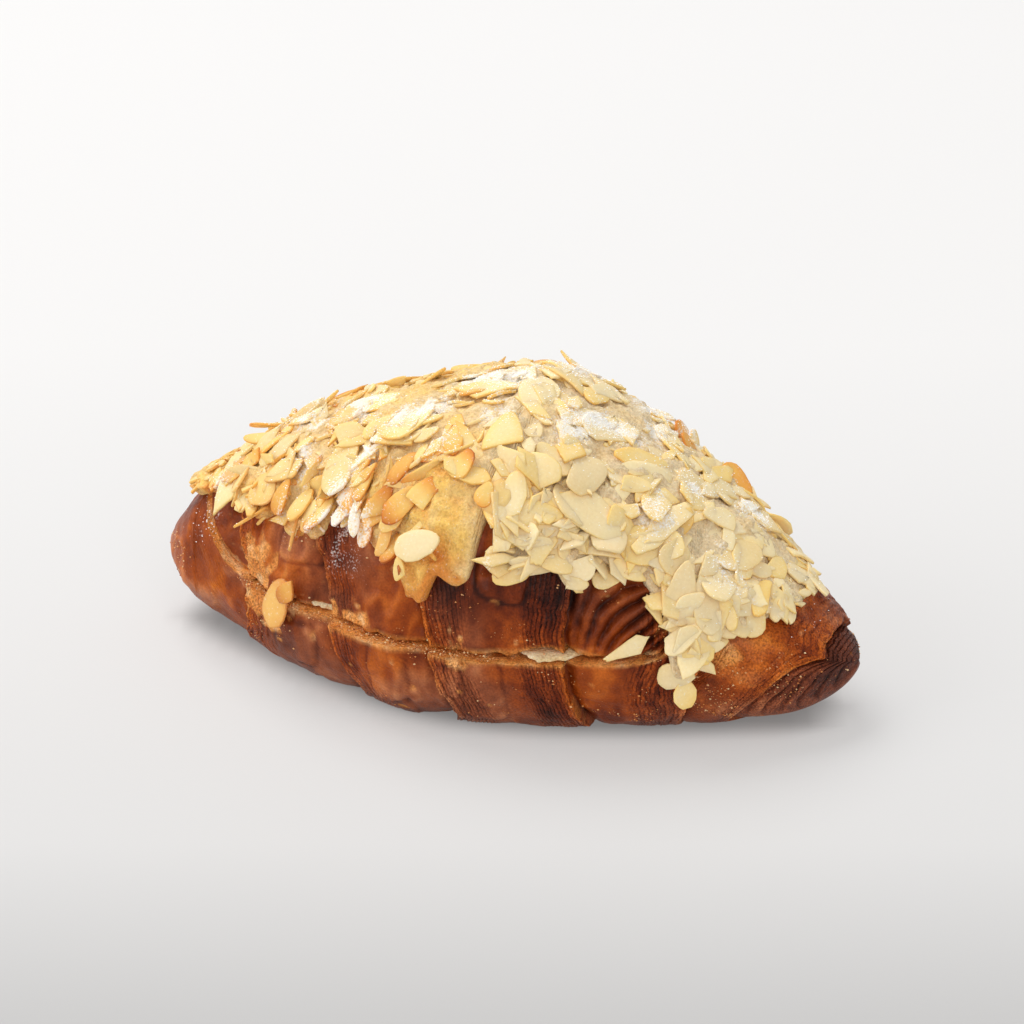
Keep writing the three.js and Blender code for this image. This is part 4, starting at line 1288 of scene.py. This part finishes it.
def sugar_spots(chance):
    """Where grains fall, from above: most in the patches, the others anywhere."""
    places = np.array(SUGAR_PLACES, dtype=float)
    weight = places[:, 2] ** 2 / np.sum(places[:, 2] ** 2)
    in_patches = int(SUGAR_IN_PATCHES * SUGAR_GRAINS)
    chosen = places[chance.choice(len(places), in_patches, p=weight)]
    patches = chosen[:, :2] + chance.normal(0, SUGAR_SCATTER, (in_patches, 2)) * chosen[:, 2:]
    anywhere = chance.uniform(-SUGAR_REACH, SUGAR_REACH, (SUGAR_GRAINS - in_patches, 2))
    return np.concatenate([patches, anywhere])


def icing_sugar(material, pieces):
    """Grains of icing sugar dropped from above onto the pieces, in patches."""
    chance = np.random.default_rng(SUGAR_SEED)
    bpy.context.view_layer.update()
    shapes = bpy.context.evaluated_depsgraph_get()
    trees = [BVHTree.FromObject(piece, shapes) for piece in pieces]
    places = []
    for x, y in sugar_spots(chance):
        start = Vector((x * MM, y * MM, SUGAR_FALL["from"] * MM))
        hits = [tree.ray_cast(start, Vector((0, 0, -1))) for tree in trees]
        height, facing = max([(hit[0].z / MM, hit[1].z) for hit in hits if hit[0]], default=(0, 0))
        if facing > SUGAR_FALL["steepest"] and height > SUGAR_FALL["lowest"]:
            places.append((x, y, height + SUGAR_FALL["above"]))
    places = np.array(places)
    sizes = lerp(*SUGAR_SIZE, chance.random(len(places)) ** 2)
    points, faces = octahedra(places, sizes, SUGAR_SQUASH)
    tint = np.broadcast_to(SUGAR_COLOUR, points.shape)
    return add_piece("icing_sugar", points, faces, material, [], {"tint": tint})


def crumbs_on_crust(chance):
    """Places of crumbs that stick to the base and the lid, in patches."""
    band = chance.integers(0, BANDS, CRUMBS)
    share = chance.uniform(*CRUMB_SHARE, CRUMBS)
    around = chance.uniform(*CRUMB_AROUND, CRUMBS) * chance.choice([-1, 1], CRUMBS)
    x = band_x(band, share, around)
    on_lid = smooth_point(x, around)[..., 2] > cut_height(x)
    places = crust_surface(band, share, around, lambda along: np.where(on_lid, lid_inset(along), 0))[0]
    patches = smoothstep(uneven(places, CRUMB_PATCHES), *CRUMB_COVER["patches"])
    return places[chance.random(CRUMBS) < CRUMB_COVER["least"] + patches]


def crumbs_on_ledge(chance):
    """Places of crumbs along the front and the back of the cut."""
    count = LEDGE_CRUMBS["count"]
    x = chance.uniform(*LEDGE_CRUMBS["x"], count)
    side = chance.choice([-1, 1], count)
    rim = smooth_point(x, side * cut_round(x))
    rim[..., 1] += side * chance.uniform(*LEDGE_CRUMBS["inwards"], count) * lid_inset(x)
    rim[..., 2] = cut_height(x) + chance.uniform(*LEDGE_CRUMBS["above"], count)
    return rim


def crust_crumbs(material):
    """Crumbs on the crust and along the cut, most of them small."""
    chance = np.random.default_rng(CRUMB_SEED)
    places = np.concatenate([crumbs_on_crust(chance), crumbs_on_ledge(chance)])
    sizes = lerp(*CRUMB_SIZE, chance.random(len(places)) ** 3)
    points, faces = octahedra(places, sizes, CRUMB_SQUASH)
    tint = colour_ramp(np.repeat(chance.random(len(places)), len(points) // len(places)), CRUMB_TINTS)
    return add_piece("crust_crumbs", points, faces, material, [], {"tint": tint})


# Materials.
def add_node(material, kind, sockets, **settings):
    """A node with its settings, and its sockets linked to outputs or set to values."""
    node = material.node_tree.nodes.new("ShaderNode" + kind)
    for name, value in settings.items():
        setattr(node, name, value)
    for name, value in sockets.items():
        if isinstance(value, bpy.types.NodeSocket):
            material.node_tree.links.new(value, node.inputs[name])
        else:
            node.inputs[name].default_value = value
    return node


def point_value(material, name, output="Fac"):
    """A value that each point of a piece has."""
    return add_node(material, "Attribute", {}, attribute_name=name).outputs[output]


def new_material(name, finish):
    """A material with the piece's own point colours, and its shader for more."""
    material = bpy.data.materials.new(name)
    material.use_nodes = True
    shader = material.node_tree.nodes["Principled BSDF"]
    for socket, value in finish.items():
        shader.inputs[socket].default_value = value
    material.node_tree.links.new(point_value(material, "tint", "Color"), shader.inputs["Base Color"])
    return material, shader


def noise_node(material, size, detail, lay=None):
    """Noise with lumps of one size in millimetres, or in steps of a lay that the points have."""
    if lay:
        sockets = {"Vector": point_value(material, lay, "Vector"), "Scale": 1 / size}
    else:
        place = add_node(material, "TexCoord", {})
        sockets = {"Vector": place.outputs["Object"], "Scale": 1 / (size * MM)}
    return add_node(material, "TexNoise", {**sockets, "Detail": detail}).outputs["Fac"]


def blend_colour(material, shader, blend, share, value, stops):
    """Blends the shader's colour with the colours that a value has along two stops."""
    ramp = add_node(material, "ValToRGB", {"Fac": value})
    for element, (position, colour) in zip(ramp.color_ramp.elements, stops):
        element.position = position
        element.color = (*colour, 1)
    under = shader.inputs["Base Color"].links[0].from_socket
    sockets = {"Factor": share, "A": under, "B": ramp.outputs["Color"]}
    mix = add_node(material, "Mix", sockets, data_type="RGBA", blend_type=blend)
    material.node_tree.links.new(mix.outputs["Result"], shader.inputs["Base Color"])


def add_grain(material, shader, grain, strength=1, lay=None):
    """Darkens the hollows of a noise and lightens its tops, the grain's own tone together with painted shade
    in the hollows and painted highlights on the tops, and raises them as fine bumps.
    """
    height = noise_node(material, grain["size"], grain["detail"], lay)
    stops = zip(GRAIN_RANGE, (grain["hollows"], grain["top_tint_and_highlight"]))
    blend_colour(material, shader, "MULTIPLY", strength, height, stops)
    if grain["depth"]:
        sockets = {"Distance": grain["depth"] * MM, "Height": height, "Strength": strength}
        for link in shader.inputs["Normal"].links:
            sockets["Normal"] = link.from_socket
        relief = add_node(material, "Bump", sockets)
        material.node_tree.links.new(relief.outputs["Normal"], shader.inputs["Normal"])


def add_powder(material, shader):
    """Whitens the colour with fine powder, the more of it the larger the points' value sugar is."""
    grains = noise_node(material, POWDER["size"], POWDER["detail"])
    covered = add_node(material, "Math", {0: grains, 1: point_value(material, "sugar")}, operation="ADD")
    stops = ((POWDER["from"], (0, 0, 0)), (1, POWDER["cover"] * SUGAR_COLOUR))
    blend_colour(material, shader, "SCREEN", 1, covered.outputs["Value"], stops)


def make_crust():
    crust, shader = new_material("baked_crust", CRUST_FINISH)
    add_grain(crust, shader, CRUST_FIBRES, point_value(crust, "fibrous"), "lay")
    add_grain(crust, shader, CRUST_GRAIN, point_value(crust, "granular"))
    add_powder(crust, shader)
    return crust


def make_powdered(name, finish, grain):
    """Almond cream or almonds under icing sugar."""
    material, shader = new_material(name, finish)
    add_grain(material, shader, grain)
    add_powder(material, shader)
    return material


# Stage.
def add_stage():
    """A pale floor that glows, with painted shade that darkens it in front and a painted shadow under the
    croissant, lying square to the camera.
    """
    steps = np.linspace(-1, 1, FLOOR_STEPS) ** 3
    reach_away = np.where(steps > 0, FLOOR_REACH["behind"], FLOOR_REACH["front"])
    across, away = np.meshgrid(FLOOR_REACH["across"] * steps, reach_away * steps, indexing="ij")
    turn = math.radians(CAMERA_AZIMUTH)
    x = across * math.cos(turn) - away * math.sin(turn)
    y = across * math.sin(turn) + away * math.cos(turn)
    index = np.arange(FLOOR_STEPS**2).reshape(FLOOR_STEPS, FLOOR_STEPS)
    faces = stacked(index[:-1, :-1], index[1:, :-1], index[1:, 1:], index[:-1, 1:])
    # A painted shadow darkens the floor under the croissant.
    under = half_width(np.clip(x / MM, -HALF_LENGTH, HALF_LENGTH)) - np.abs(y / MM)
    under = np.minimum(under, HALF_LENGTH - np.abs(x / MM))
    painted_shadow = FLOOR_PAINTED_SHADOW["darker"] * smoothstep(under, *FLOOR_PAINTED_SHADOW["in_from"])
    shade = np.interp(away, FLOOR_AWAY, FLOOR_PAINTED_SHADE) * (1 - painted_shadow)
    paper, shader = new_material("pale_floor", FLOOR_FINISH_AND_GLOW)
    # The floor's own colour also glows, as painted light that softens the shadows on it.
    colour = shader.inputs["Base Color"].links[0].from_socket
    paper.node_tree.links.new(colour, shader.inputs["Emission Color"])
    points = stacked(x, y, 0).reshape(-1, 3)
    tint = shade.reshape(-1, 1) * FLOOR_TINT
    floor = new_object("floor", points, faces.reshape(-1, 4), paper, {"tint": tint})


def add_lights():
    world = bpy.data.worlds.new("studio")
    world.use_nodes = True
    for socket, value in LIGHT_AROUND.items():
        world.node_tree.nodes["Background"].inputs[socket].default_value = value
    bpy.context.scene.world = world
    for name, (place, power, side) in SOFTBOXES.items():
        light = bpy.data.lights.new(name, "AREA")
        light.energy = power
        light.size = side
        lamp = bpy.data.objects.new(name, light)
        lamp.location = place
        lamp.rotation_euler = (CAMERA_TARGET - Vector(place)).to_track_quat("-Z", "Y").to_euler()
        bpy.context.collection.objects.link(lamp)


def add_camera():
    back = Vector(view_axes()[2])
    camera = bpy.data.objects.new("camera", bpy.data.cameras.new("camera"))
    camera.data.lens = CAMERA_LENS
    camera.data.sensor_width = CAMERA_SENSOR
    camera.data.shift_x = (PICTURE_SIDE / 2 - TARGET_PIXEL[0]) / PICTURE_SIDE
    camera.data.shift_y = (TARGET_PIXEL[1] - PICTURE_SIDE / 2) / PICTURE_SIDE
    camera.location = CAMERA_TARGET + back * CAMERA_DISTANCE
    camera.rotation_euler = back.to_track_quat("Z", "Y").to_euler()
    bpy.context.collection.objects.link(camera)
    bpy.context.scene.camera = camera
    bpy.context.scene.view_settings.view_transform = "Standard"


crust = make_crust()
cream = make_powdered("almond_cream", CREAM_FINISH, CREAM_GRAIN)
almond = make_powdered("flaked_almond", ALMOND_FINISH, ALMOND_GRAIN)
base = crust_piece("crust_base", "croissant_base", nothing, nothing, crust)
lid = crust_piece("crust_lid", "croissant_lid", lid_inset, lid_gap, crust)
filling_piece(cream)
topping = cream_piece(cream)
flakes = almond_flakes(almond)
bits = almond_bits(almond)
crust_crumbs(new_material("crumb", CRUMB_FINISH)[0])
icing_sugar(new_material("sugar", SUGAR_FINISH_AND_GLOW)[0], [flakes, bits, topping, lid, base])
add_stage()
add_lights()
add_camera()
